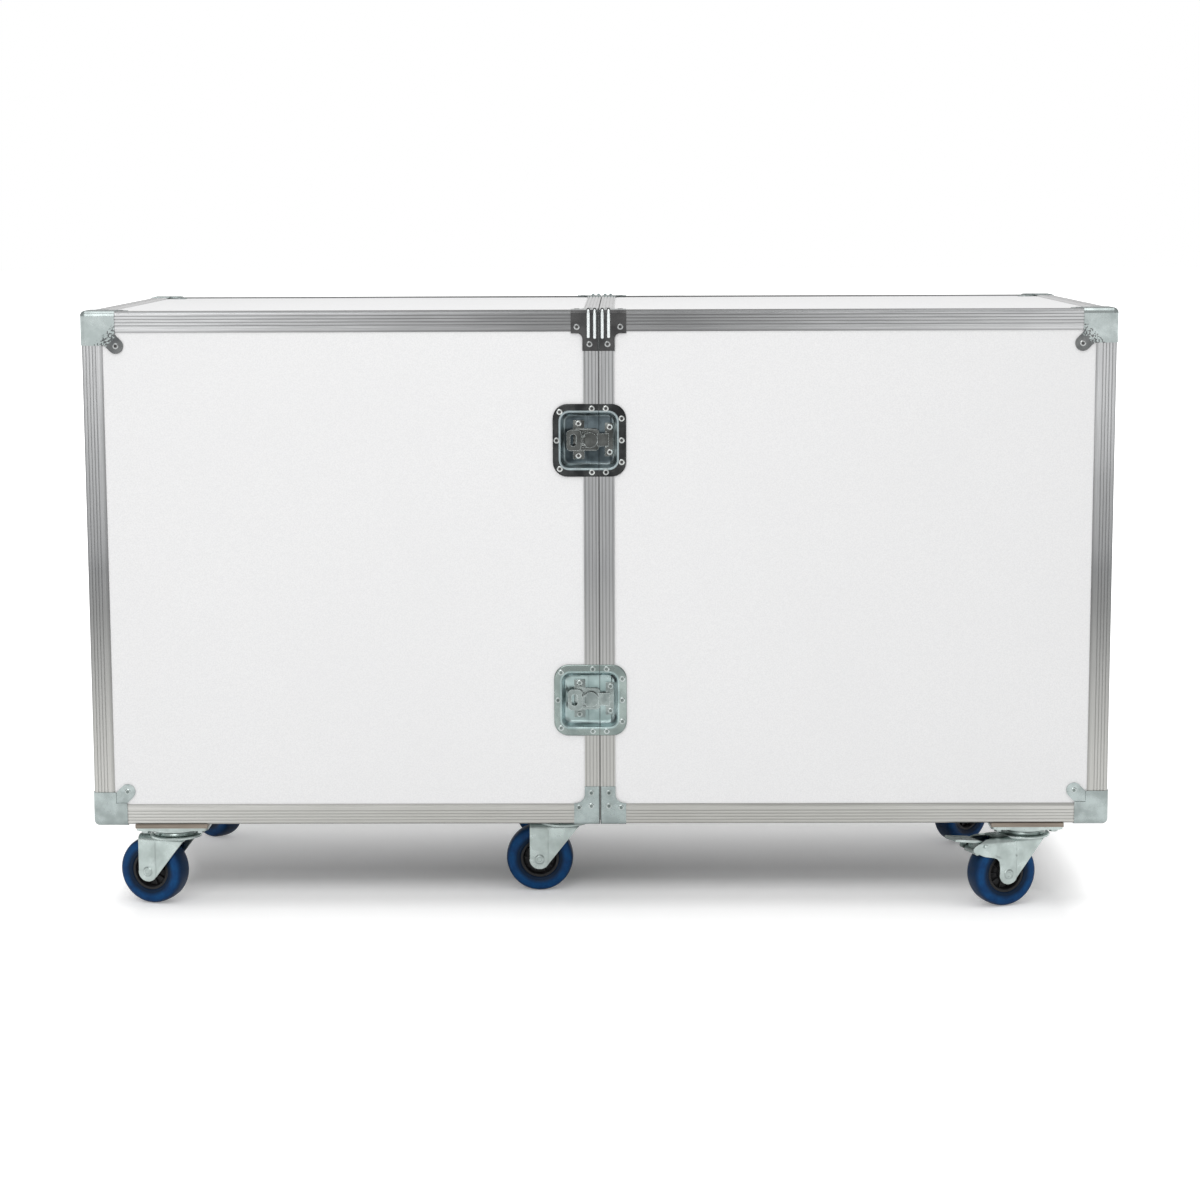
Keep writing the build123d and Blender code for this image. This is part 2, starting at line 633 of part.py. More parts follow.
def latch_wing():
    """The folding thumb piece with its knuckle and finger slot."""
    tip, half = WING_TIP_X, WING_HALF_HEIGHT
    plate = facing_plate(tip, WING_HINGE_X - 3.4, -half, half, 6.0, 0.6, 2.6)
    plate += block(WING_HINGE_X - 5.0, WING_HINGE_X, 0.7, 2.5, -4.9, 4.9)
    plate += rod(1.5, (WING_HINGE_X, WING_HINGE_DEPTH, -4.9), (WING_HINGE_X, WING_HINGE_DEPTH, 4.9))
    plate -= facing_plate(tip + 5.0, tip + 14.0, -8.5, 8.5, 4.0, -1.0, 5.0)
    return plate - rod(0.88, (WING_HINGE_X, WING_HINGE_DEPTH, -9), (WING_HINGE_X, WING_HINGE_DEPTH, 9))


def latch_hook():
    """The sliding hook: a yoke round the eccentric, a step over the seam and a nose."""
    half = YOKE_HALF_HEIGHT
    yoke = facing_plate(YOKE_LEFT, 0.0, -half, half, 4.0, HOOK_FRONT, HOOK_BACK)
    middle = CAM_X - ECCENTRIC
    slack = ECCENTRIC_RADIUS + 1.2
    tall = ECCENTRIC_RADIUS + ECCENTRIC + 0.7
    yoke -= facing_plate(middle - slack, middle + slack, -tall, tall, 3.0, 0.0, 20.0)
    tongue = (-TONGUE_HALF_HEIGHT, TONGUE_HALF_HEIGHT)
    yoke += block(-YOKE_WALL, 0.0, HOOK_RAISED, HOOK_BACK, *tongue)
    yoke += block(-YOKE_WALL, NOSE_X[1], HOOK_RAISED, HOOK_RAISED + HOOK_SHEET, *tongue)
    return yoke + block(*NOSE_X, HOOK_RAISED, HOOK_RAISED + NOSE_LENGTH, *tongue)


def at_latch(shapes, height):
    """Latch pieces put on the front of the case at one height."""
    return [Pos(0, -HALF_DEPTH, height) * shape for shape in shapes]


# Recessed handle, drawn like the latch and then turned to face an end

def handle_pressing():
    """The dish, its flange on the board and the two lugs that hold the bail."""
    half_x, half_z = HANDLE_SIZE[0] / 2, HANDLE_SIZE[1] / 2
    dish_x, dish_z = HANDLE_DISH[0] / 2, HANDLE_DISH[1] / 2
    flange_round, dish_round = HANDLE_ROUND
    dish = facing_plate(-half_x, half_x, -half_z, half_z, flange_round, LEG - SHEET, LEG)
    dish += facing_plate(-dish_x - SHEET, dish_x + SHEET, -dish_z - SHEET, dish_z + SHEET,
                         dish_round + SHEET, LEG - SHEET, DISH_FLOOR + SHEET)
    dish -= facing_plate(-dish_x, dish_x, -dish_z, dish_z, dish_round, -9.0, DISH_FLOOR)
    for sign in (-1, 1):
        lug = block(sign * LUG_SPAN[0], sign * LUG_SPAN[1], 2.4, DISH_FLOOR,
                    HANDLE_PIVOT_UP - LUG_HALF_HEIGHT, HANDLE_PIVOT_UP + LUG_HALF_HEIGHT)
        dish += lug - rod(BAIL_ROD + FIT, (-70, HANDLE_PIVOT_DEPTH, HANDLE_PIVOT_UP),
                          (70, HANDLE_PIVOT_DEPTH, HANDLE_PIVOT_UP))
    return dish


def handle_bail():
    """The bent rod of the handle and the grip on its lower run."""
    depth, top = HANDLE_PIVOT_DEPTH, HANDLE_PIVOT_UP
    low = top - BAIL_DROP
    end, arm = BAIL_END, BAIL_HALF_WIDTH - BAIL_ROD
    path = FilletPolyline((-end, depth, top), (-arm, depth, top), (-arm, depth, low),
                          (arm, depth, low), (arm, depth, top), (end, depth, top), radius=7.0)
    bent = sweep(Plane(origin=path @ 0, z_dir=path % 0) * Circle(BAIL_ROD), path)
    grip = rod(GRIP_RADIUS, (-GRIP_HALF_LENGTH, depth, low), (GRIP_HALF_LENGTH, depth, low))
    grip = fillet(grip.edges().filter_by(GeomType.CIRCLE), 2.0)
    return [bent, grip - rod(BAIL_ROD, (-40, depth, low), (40, depth, low))]


def at_end(shapes, side):
    """Handle pieces put on one end of the case."""
    return [Pos(side * HALF_LENGTH, 0, HANDLE_HEIGHT) * Rot(0, 0, side * 90) * shape for shape in shapes]


# Hinges

def hinge_leaf(side, height):
    """One riveted leaf with its knuckles on the common pin line."""
    low, high = height - HINGE_HALF_HEIGHT, height + HINGE_HALF_HEIGHT
    back = HALF_DEPTH
    step = CLOSING_WIDTH + FIT
    leaf = block(SEAM + 0.2, step + HINGE_LEAF, back, back + HINGE_LEAF, low, high)
    leaf += block(step, step + HINGE_LEAF, back - LEG, back + HINGE_LEAF, low, high)
    leaf += block(step, HINGE_WIDTH, back - LEG, back - LEG + HINGE_LEAF, low, high)
    split_low, split_high = height - KNUCKLE_SPLIT, height + KNUCKLE_SPLIT
    own = [(low, split_low - 0.3), (split_high + 0.3, high)] if side < 0 else [(split_low, split_high)]
    foreign = [(split_low, split_high)] if side < 0 else [(low - 1, split_low), (split_high, high + 1)]
    for start, end in foreign:
        leaf -= block(-9, 6.8, back - 9, back + 9, start - 0.4, end + 0.4)
    for start, end in own:
        strap = make_face(Polyline((SEAM + 0.2, back, start), (9.8, back, start), (9.8, back + 2.4, start),
                                   (KNUCKLE_RADIUS, HINGE_Y, start), (SEAM + 0.2, HINGE_Y, start), close=True))
        leaf += extrude(strap, end - start, dir=(0, 0, 1))
        leaf += rod(KNUCKLE_RADIUS, (0, HINGE_Y, start), (0, HINGE_Y, end))
    bore = HINGE_PIN + (0.0 if side < 0 else FIT)
    leaf -= rod(bore, (0, HINGE_Y, low - 1), (0, HINGE_Y, high + 1))
    return leaf if side > 0 else mirror(leaf, about=Plane.YZ)


def hinge_pin(height):
    """A straight pin with a flat head at each end."""
    low, high = height - HINGE_HALF_HEIGHT, height + HINGE_HALF_HEIGHT
    head, flat = PIN_HEAD
    pin = rod(HINGE_PIN, (0, HINGE_Y, low - flat), (0, HINGE_Y, high + flat))
    pin += rod(head, (0, HINGE_Y, low - flat), (0, HINGE_Y, low))
    return pin + rod(head, (0, HINGE_Y, high), (0, HINGE_Y, high + flat))


# Castors, drawn with the swivel axis at the origin and the wheel trailing towards +X

def upright_plate(outline, near, far):
    """A plate that stands along X and Z, from an outline in those two, between two Y values."""
    return extrude(Plane.XZ.offset(-near) * outline, -(far - near))


def leg_outline():
    """The side of a fork: upright behind, round under the axle, slanting up to the crown."""
    axle_z = WHEEL_RADIUS
    foot = FORK_FOOT
    toe = (TOE_X, CROWN_LOW)
    away = (toe[0] - TRAIL, toe[1] - axle_z)
    swing = degrees(acos(foot / hypot(*away)))
    touch = radians(degrees(atan2(away[1], away[0])) + swing)
    low_point = (TRAIL + foot * cos(radians(-70)), axle_z + foot * sin(radians(-70)))
    end_point = (TRAIL + foot * cos(touch), axle_z + foot * sin(touch))
    top = CROWN_LOW + CROWN_SHEET
    back = TRAIL + foot
    arc = ThreePointArc((TRAIL + foot, axle_z), low_point, end_point)
    rest = Polyline(end_point, toe, (toe[0], top), (back, top), (TRAIL + foot, axle_z))
    return make_face([arc, rest])


def brake_tail():
    """The swept tail that a braked fork carries out over its wheel."""
    points = [(20, 107), (46, 107), (72, 103.5), (90, 95.5), (94, 89), (76, 79), (54, 75), (47, 60), (20, 70)]
    tail = make_face(Polyline(*points, close=True))
    tips = tail.vertices().sort_by(Axis.X)[-2:]
    return fillet(tips, 2.5)


def fork(brakes):
    """The pressed fork: crown, race and two legs, with its riveted axle, washer and sleeve."""
    reach, side = TRAIL + FORK_FOOT, FORK_INNER + FORK_SHEET
    crown = Circle(CROWN_RADIUS) + Pos(reach / 2, 0) * Rectangle(reach, 2 * side)
    body = extrude(Pos(0, 0, CROWN_LOW) * crown, CROWN_SHEET)
    race = rod(FORK_RACE_RADIUS, (0, 0, CROWN_LOW + CROWN_SHEET), (0, 0, RACE_FACE))
    race = fillet(race.edges().sort_by(Axis.Z)[-1], 2.0)
    body += race
    for sign in (-1, 1):
        near, far = sorted((sign * FORK_INNER, sign * (FORK_INNER + FORK_SHEET)))
        body += upright_plate(leg_outline(), near, far)
        if brakes:
            body += upright_plate(brake_tail(), near, far)
    body -= rod(SLEEVE_RADIUS + RACE_GAP, (0, 0, CROWN_LOW - 1), (0, 0, RACE_FACE + 1))
    body -= rod(AXLE_RADIUS, (TRAIL, -side - 1, WHEEL_RADIUS), (TRAIL, side + 1, WHEEL_RADIUS))
    axle = rod(AXLE_RADIUS, (TRAIL, -side, WHEEL_RADIUS), (TRAIL, side + AXLE_HEAD, WHEEL_RADIUS))
    axle += rod(AXLE_HEAD_RADIUS, (TRAIL, -side - AXLE_HEAD, WHEEL_RADIUS), (TRAIL, -side, WHEEL_RADIUS))
    washer = rod(AXLE_HEAD_RADIUS, (TRAIL, side, WHEEL_RADIUS), (TRAIL, side + AXLE_HEAD, WHEEL_RADIUS))
    washer -= rod(AXLE_RADIUS, (TRAIL, side, WHEEL_RADIUS), (TRAIL, side + AXLE_HEAD, WHEEL_RADIUS))
    sleeve = rod(SLEEVE_RADIUS, (TRAIL, -FORK_INNER, WHEEL_RADIUS), (TRAIL, FORK_INNER, WHEEL_RADIUS))
    sleeve -= rod(AXLE_RADIUS, (TRAIL, -FORK_INNER, WHEEL_RADIUS), (TRAIL, FORK_INNER, WHEEL_RADIUS))
    pieces = [axle, washer, sleeve]
    if brakes:
        x, z = PEDAL_PIVOT
        pin = rod(BRAKE_PIN, (x, -side - 1, z), (x, side + 1, z))
        body -= pin
        pieces.append(pin)
    return [body] + pieces


def revolved(points, rounded=()):
    """A ring turned round the axle from an outline in radius and width."""
    outline = make_face(Polyline(*[(r, y) for r, y in points], close=True))
    for radius, near in rounded:
        corners = [v for v in outline.vertices() if hypot(v.X - near[0], abs(v.Y) - near[1]) < 0.1]
        outline = fillet(corners, radius)
    ring = revolve(Plane.XY * outline, Axis.Y)
    return Pos(TRAIL, 0, WHEEL_RADIUS) * ring


def hub():
    """The wheel centre: rim, web and boss in one moulding, bored for the sleeve."""
    bore, boss, rim_in = SLEEVE_RADIUS + 0.08, 10.5, 24.0
    half_boss, half_web, half_rim = FORK_INNER - 0.5, 3.5, 15.0
    points = [(bore, -half_boss), (boss, -half_boss), (boss, -half_web), (rim_in, -half_web),
              (rim_in, -half_rim), (HUB_RADIUS, -half_rim), (HUB_RADIUS, half_rim), (rim_in, half_rim),
              (rim_in, half_web), (boss, half_web), (boss, half_boss), (bore, half_boss)]
    return revolved(points)


def tyre():
    """The elastic tyre, with round shoulders and a flat tread."""
    half = TYRE_WIDTH / 2
    points = [(HUB_RADIUS, -half + 2), (33, -half), (WHEEL_RADIUS, -half), (WHEEL_RADIUS, half),
              (33, half), (HUB_RADIUS, half - 2)]
    return revolved(points, rounded=((7.0, (WHEEL_RADIUS, half)),))


def brake_pedal():
    """The pedal, its tube on the cross pin and the shoe that swings in to the tyre."""
    x, z = PEDAL_PIVOT
    away = (TRAIL - x, WHEEL_RADIUS - z)
    reach = hypot(*away)
    pressed = WHEEL_RADIUS + SHOE_RADIUS + 0.5
    spread = degrees(acos((reach ** 2 + SHOE_ARM ** 2 - pressed ** 2) / (2 * reach * SHOE_ARM)))
    angle = radians(degrees(atan2(away[1], away[0])) + spread + PEDAL_PRESS)
    shoe = (x + SHOE_ARM * cos(angle), z + SHOE_ARM * sin(angle))
    profile = Pos(x, z) * Circle(5.5)
    profile += Pos(*shoe) * Circle(SHOE_RADIUS)
    profile += make_face(Polyline((x - 3, z - 3), shoe, (x + 5, z + 2), close=True))
    profile += make_face(Polyline((x, z + 5.5), (84, 103), (120, 107), (121, 104), (84, 99), (x + 4, z),
                                  close=True))
    pedal = upright_plate(profile, -PEDAL_HALF_WIDTH, PEDAL_HALF_WIDTH)
    return pedal - rod(BRAKE_PIN + FIT, (x, -30, z), (x, 30, z))


def swivel_top():
    """The fixed top plate with its race, king pin and pin head."""
    plate = extrude(Pos(0, 0, PLATE_LOW) * RectangleRounded(*PLATE_SIZE, 10.0), PLATE_HIGH - PLATE_LOW)
    race_low = RACE_FACE + RACE_GAP
    race = extrude(Pos(0, 0, race_low) * Circle(TOP_RACE_RADIUS), PLATE_LOW - race_low)
    plate += fillet(race.edges().sort_by(Axis.Z)[0], 2.0)
    plate += rod(SLEEVE_RADIUS, (0, 0, CROWN_LOW - RACE_GAP), (0, 0, race_low))
    radius, height = KING_PIN_HEAD
    under = CROWN_LOW - RACE_GAP
    return plate + rod(radius, (0, 0, under - height), (0, 0, under))


def castor_tops(side):
    """The fixed castor plates of one half."""
    tops = []
    for castor_side, (x, y), trail, brakes in CASTORS.values():
        if castor_side == side:
            tops.append(Pos(x, y, 0) * swivel_top() - bolt_holes(side))
    return solids_of(*tops)


def castor_packers(side):
    """Plywood packers between the castor plates and the case, rebated over the aluminium."""
    packers = []
    clear = block(side * (CLOSING_WIDTH + 0.2), side * (HALF_LENGTH - EAR_CENTRE - EAR_WIDTH / 2 - 0.3),
                  -HALF_DEPTH + EDGE_LEG_WIDTH + 0.2, HALF_DEPTH - EDGE_LEG_WIDTH - 0.2, 0, 999)
    for castor_side, (x, y), trail, brakes in CASTORS.values():
        if castor_side == side:
            half_x, half_y = PLATE_SIZE[0] / 2, PLATE_SIZE[1] / 2
            low = block(x - half_x, x + half_x, y - half_y, y + half_y, PLATE_HIGH, BASE_Z)
            high = block(x - half_x, x + half_x, y - half_y, y + half_y, BASE_Z, BASE_Z + LEG)
            packers.append(low + (high & clear) - bolt_holes(side))
    return solids_of(*packers)


def at_castor(shapes, name):
    """Castor pieces turned to their trail and put under the case."""
    side, (x, y), trail, brakes = CASTORS[name]
    return [Pos(x, y, 0) * Rot(0, 0, trail) * shape for shape in shapes]


# Assembly

def assembly():
    """Every node of the case, as a name and its list of solids."""
    nodes = {}
    for name, side in SIDES.items():
        for face in ("end", "front", "back", "top", "base"):
            nodes[f"{name}_{face}_panel"] = solids_of(board(side, face))
        nodes[f"{name}_edge_extrusions"] = edge_bars(side)
        nodes[f"{name}_closing_frame"] = closing_frame(side)
        corners = [(side, sign_y, sign_z) for sign_y in (-1, 1) for sign_z in (-1, 1)]
        nodes[f"{name}_corner_caps"] = solids_of(*[at_corner(corner_cap(), signs) for signs in corners])
        nodes[f"{name}_split_braces"] = split_braces(side)
        nodes[f"{name}_foam_lining"] = foam_lining(side)
        nodes[f"{name}_castor_plates"] = castor_tops(side)
        nodes[f"{name}_castor_packers"] = castor_packers(side)
        nodes[f"{name}_rivets_and_bolts"] = fasteners(side)
        nodes[f"{name}_handle_dish"] = solids_of(*at_end([handle_pressing()], side))
        nodes[f"{name}_handle_bail"] = solids_of(*at_end(handle_bail(), side))
        nodes[f"{name}_hinge_leaves"] = solids_of(*[hinge_leaf(side, height) for height in HINGE_HEIGHTS])
    nodes["left_hinge_leaves"] += solids_of(*[hinge_pin(height) for height in HINGE_HEIGHTS])
    nodes["latch_dishes"] = []
    nodes["latch_keepers"] = []
    for name, height in LATCH_HEIGHTS.items():
        nodes["latch_dishes"] += solids_of(*at_latch([latch_pressing(-1), latch_base()], height))
        nodes["latch_keepers"] += solids_of(*at_latch([latch_pressing(1), latch_keeper()], height))
        nodes[f"{name}_latch_cam"] = solids_of(*at_latch(latch_cam(), height))
        nodes[f"{name}_latch_wing"] = solids_of(*at_latch([latch_wing()], height))
        nodes[f"{name}_latch_hook"] = solids_of(*at_latch([latch_hook()], height))
    for name, (side, place, trail, brakes) in CASTORS.items():
        nodes[f"{name}_castor_fork"] = solids_of(*at_castor(fork(brakes), name))
        nodes[f"{name}_wheel_hub"] = solids_of(*at_castor([hub()], name))
        nodes[f"{name}_wheel_tyre"] = solids_of(*at_castor([tyre()], name))
        if brakes:
            nodes[f"{name}_brake_pedal"] = solids_of(*at_castor([brake_pedal()], name))
    return nodes


def centring_shift(nodes):
    """How far the case moves along Y so that its whole box is centred on the origin."""
    box = Compound([solid for solids in nodes.values() for solid in solids]).bounding_box()
    return -(box.min.Y + box.max.Y) / 2


def main():
    """Builds the case and writes one file for each node."""
    os.makedirs("parts", exist_ok=True)
    nodes = assembly()
    shift = centring_shift(nodes)
    print("moved along Y by", round(shift, 4))
    for name, solids in nodes.items():
        moved = [Pos(0, shift, 0) * solid for solid in solids]
        export_step(Compound(moved), f"parts/{name}.step")
    return nodes, shift


main()
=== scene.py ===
import bmesh
import bpy
import json
from math import atan2, cos, hypot, pi, radians, sin
from mathutils import Matrix, Vector


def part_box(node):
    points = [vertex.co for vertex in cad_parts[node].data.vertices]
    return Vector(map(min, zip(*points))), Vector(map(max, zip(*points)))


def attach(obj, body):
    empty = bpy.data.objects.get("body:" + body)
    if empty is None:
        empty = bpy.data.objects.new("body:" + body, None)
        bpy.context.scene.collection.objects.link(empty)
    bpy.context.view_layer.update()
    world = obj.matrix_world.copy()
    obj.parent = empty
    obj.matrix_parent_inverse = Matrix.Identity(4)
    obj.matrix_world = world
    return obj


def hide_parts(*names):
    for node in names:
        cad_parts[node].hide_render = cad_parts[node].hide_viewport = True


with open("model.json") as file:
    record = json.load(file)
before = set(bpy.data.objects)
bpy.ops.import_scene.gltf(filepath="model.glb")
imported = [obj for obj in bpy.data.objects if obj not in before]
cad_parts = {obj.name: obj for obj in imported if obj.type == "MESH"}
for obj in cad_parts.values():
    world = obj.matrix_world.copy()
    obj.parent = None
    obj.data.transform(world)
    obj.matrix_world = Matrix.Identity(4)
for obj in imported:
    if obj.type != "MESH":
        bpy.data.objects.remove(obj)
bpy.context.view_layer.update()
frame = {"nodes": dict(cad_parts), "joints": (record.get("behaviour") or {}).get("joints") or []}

# The case, in metres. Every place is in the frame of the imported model.
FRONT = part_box("left_closing_frame")[0].y
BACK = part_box("left_closing_frame")[1].y
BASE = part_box("left_closing_frame")[0].z
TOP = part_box("left_closing_frame")[1].z
MIDDLE_Y = (FRONT + BACK) / 2
MIDDLE_Z = (BASE + TOP) / 2
HALF_DEPTH = (BACK - FRONT) / 2
HALF_HEIGHT = (TOP - BASE) / 2
HALF_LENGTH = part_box("right_edge_extrusions")[1].x
MM = 1000.0

# Where the finishes change, in metres
BAR_REACH = 0.031
CLOSING_WIDTH = 0.022
BOTH_CLOSING_BARS = 0.025
OUTER_FACE = 0.0015
NEAR_SEAM, NEAR_END = 0.10, 0.62
LID_HARDWARE = 0.075
GRIP_HALF_LENGTH = 0.0385
GRIP_TOP = 0.0145
PLY = 0.0028


# Materials

class Finish:
    """A material being built: its node tree and its principled surface."""

    def __init__(self, name, roughness=0.5, metallic=0.0):
        self.material = bpy.data.materials.new(name)
        self.material.use_nodes = True
        self.tree = self.material.node_tree
        self.surface = self.tree.nodes["Principled BSDF"]
        self.surface.inputs["Roughness"].default_value = roughness
        self.surface.inputs["Metallic"].default_value = metallic
        self.place = self.node("ShaderNodeTexCoord").outputs["Object"]

    def node(self, kind, **settings):
        """A new node with the given properties."""
        made = self.tree.nodes.new(kind)
        for key, value in settings.items():
            setattr(made, key, value)
        return made

    def feed(self, socket, value):
        """Sets a socket to a number, or links another socket to it."""
        if isinstance(value, bpy.types.NodeSocket):
            self.tree.links.new(value, socket)
        else:
            socket.default_value = value

    def maths(self, operation, first, second=0.0):
        """One operation on one or two numbers."""
        made = self.node("ShaderNodeMath", operation=operation)
        self.feed(made.inputs[0], first)
        self.feed(made.inputs[1], second)
        return made.outputs[0]

    def above(self, value, limit):
        """One where a number is above a limit."""
        return self.maths("GREATER_THAN", value, limit)

    def below(self, value, limit):
        """One where a number is below a limit."""
        return self.maths("LESS_THAN", value, limit)

    def times(self, first, second):
        """Two numbers multiplied. Of two masks it gives where both hold."""
        return self.maths("MULTIPLY", first, second)

    def either(self, first, second):
        """The larger of two numbers. Of two masks it gives where either holds."""
        return self.maths("MAXIMUM", first, second)

    def minus(self, first, second):
        """One number less another."""
        return self.maths("SUBTRACT", first, second)

    def size_of(self, value):
        """A number without its sign."""
        return self.maths("ABSOLUTE", value)

    def away(self, value, middle):
        """How far a number is from a middle value."""
        return self.size_of(self.minus(value, middle))

    def axes(self):
        """The three object coordinates as separate numbers."""
        made = self.node("ShaderNodeSeparateXYZ")
        self.feed(made.inputs[0], self.place)
        return made.outputs

    def noise(self, scale, detail=3.0, stretch=(1, 1, 1)):
        """Noise over the object coordinates, drawn out along the axes with a small stretch."""
        mapping = self.node("ShaderNodeMapping")
        self.feed(mapping.inputs["Vector"], self.place)
        mapping.inputs["Scale"].default_value = stretch
        made = self.node("ShaderNodeTexNoise")
        self.feed(made.inputs["Vector"], mapping.outputs[0])
        for key, number in (("Scale", scale), ("Detail", detail), ("Roughness", 0.55)):
            made.inputs[key].default_value = number
        return made.outputs["Fac"]

    def span(self, value, low, high, to_low, to_high):
        """A number moved from one range to another and held inside it."""
        made = self.node("ShaderNodeMapRange", clamp=True)
        self.feed(made.inputs["Value"], value)
        ends = (("From Min", low), ("From Max", high), ("To Min", to_low), ("To Max", to_high))
        for key, number in ends:
            made.inputs[key].default_value = number
        return made.outputs[0]

    def spread(self, noise):
        """Noise drawn out over the whole range from 0 to 1."""
        return self.span(noise, 0.35, 0.65, 0.0, 1.0)

    def choose(self, factor, first, second):
        """Two numbers mixed by a factor."""
        made = self.node("ShaderNodeMix", data_type="FLOAT")
        for key, value in (("Factor", factor), ("A", first), ("B", second)):
            self.feed(made.inputs[key], value)
        return made.outputs["Result"]

    def blend(self, factor, first, second):
        """Two colours mixed by a factor."""
        made = self.node("ShaderNodeMix", data_type="RGBA")
        self.feed(made.inputs["Factor"], factor)
        for socket, colour in ((made.inputs["A"], first), (made.inputs["B"], second)):
            self.feed(socket, colour if isinstance(colour, bpy.types.NodeSocket) else (*colour, 1.0))
        return made.outputs["Result"]

    def bump(self, height, distance, strength):
        """A bump of the given height in metres."""
        made = self.node("ShaderNodeBump")
        self.feed(made.inputs["Height"], height)
        made.inputs["Distance"].default_value = distance
        made.inputs["Strength"].default_value = strength
        return made.outputs[0]

    def use(self, colour, roughness, normal):
        """Joins the finished sockets to the surface and gives the material back."""
        for key, socket in (("Base Color", colour), ("Roughness", roughness), ("Normal", normal)):
            if socket is not None:
                self.feed(self.surface.inputs[key], socket)
        return self.material


def laminate():
    """White board facing with a fine pebbled skin."""
    make = Finish("white_laminate", roughness=0.42)
    pebble = make.noise(650.0)
    cloud = make.noise(5.0, 2.0)
    dip, crest, clouded = (0.775, 0.775, 0.78), (0.85, 0.85, 0.852), (0.78, 0.78, 0.785)
    speck = make.blend(make.span(pebble, 0.36, 0.64, 0.0, 1.0), dip, crest)
    tone = make.blend(make.span(cloud, 0.3, 0.7, 0.0, 0.25), speck, clouded)
    rough = make.span(pebble, 0.3, 0.7, 0.36, 0.5)
    return make.use(tone, rough, make.bump(pebble, 0.00015, 0.6))


# The streaks that the die leaves, by the way in which they run
LENGTHWISE, CROSSWISE, UPRIGHT = (0.012, 1, 1), (1, 0.012, 1), (1, 1, 0.012)


def die_lines(make, way):
    """Fine streaks that run one way."""
    return make.noise(900.0, stretch=way)


def along_bars(make):
    """Streaks that follow each bar of the edging: lengthwise, across or upright."""
    x, y, _ = make.axes()
    near_end = make.above(make.size_of(x), HALF_LENGTH - BAR_REACH)
    near_face = make.above(make.away(y, MIDDLE_Y), HALF_DEPTH - BAR_REACH)
    upright = make.times(near_end, near_face)
    across = make.times(near_end, make.minus(1.0, near_face))
    level = make.choose(across, die_lines(make, LENGTHWISE), die_lines(make, CROSSWISE))
    return make.choose(upright, level, die_lines(make, UPRIGHT))


def rim_streaks(make):
    """Streaks on the closing frame: upright on its sides and crosswise on its top and bottom."""
    level = make.above(make.away(make.axes()[2], MIDDLE_Z), HALF_HEIGHT - CLOSING_WIDTH)
    return make.choose(level, die_lines(make, UPRIGHT), die_lines(make, CROSSWISE))


def edging_shade(make):
    """Painted shade on the edging: most at the middle of each bar, and most of all along the top.
    Uprights get more below the middle, and less high up at the right-hand end, where a painted reflection
    lightens them."""
    x, _, z = make.axes()
    from_middle = make.away(z, MIDDLE_Z)
    along = make.size_of(x)
    low_bars = make.span(along, NEAR_SEAM, NEAR_END, 0.17, 0.0)
    high_bars = make.span(along, NEAR_SEAM, NEAR_END, 0.58, 0.0)
    level = make.choose(make.above(z, MIDDLE_Z), low_bars, high_bars)
    upright = make.span(from_middle, 0.0, 0.95 * HALF_HEIGHT, 0.52, 0.04)
    upright = make.times(upright, make.span(z, MIDDLE_Z - 0.06, MIDDLE_Z + 0.03, 1.32, 1.0))
    painted_reflection_right = make.span(z, MIDDLE_Z + 0.13, MIDDLE_Z + 0.23, 1.0, 0.4)
    upright = make.times(upright, make.choose(make.above(x, 0.0), 1.0, painted_reflection_right))
    return make.choose(make.below(from_middle, HALF_HEIGHT - BAR_REACH), level, upright)


def closing_shade(make):
    """Painted shade on the closing frame: most at mid height, and none on its top and
    bottom faces."""
    z = make.axes()[2]
    from_middle = make.away(z, MIDDLE_Z)
    upper = make.span(from_middle, 0.0, HALF_HEIGHT, 0.40, 0.26)
    lower = make.span(from_middle, 0.0, HALF_HEIGHT, 0.40, 0.10)
    shade = make.choose(make.above(z, MIDDLE_Z), lower, upper)
    return make.choose(make.above(from_middle, HALF_HEIGHT - OUTER_FACE), shade, 0.0)


def depth_in(make):
    """How deep a point lies under the outer faces of the case."""
    x, y, z = make.axes()
    from_end = make.minus(HALF_LENGTH, make.away(x, 0.0))
    from_face = make.minus(HALF_DEPTH, make.away(y, MIDDLE_Y))
    from_lid = make.minus(HALF_HEIGHT, make.away(z, MIDDLE_Z))
    return make.maths("MINIMUM", make.maths("MINIMUM", from_end, from_face), from_lid)


def front_to_back(make):
    """One on the bars that run from front to back."""
    along = make.size_of(make.axes()[0])
    return make.either(make.above(along, HALF_LENGTH - BAR_REACH), make.below(along, BOTH_CLOSING_BARS))


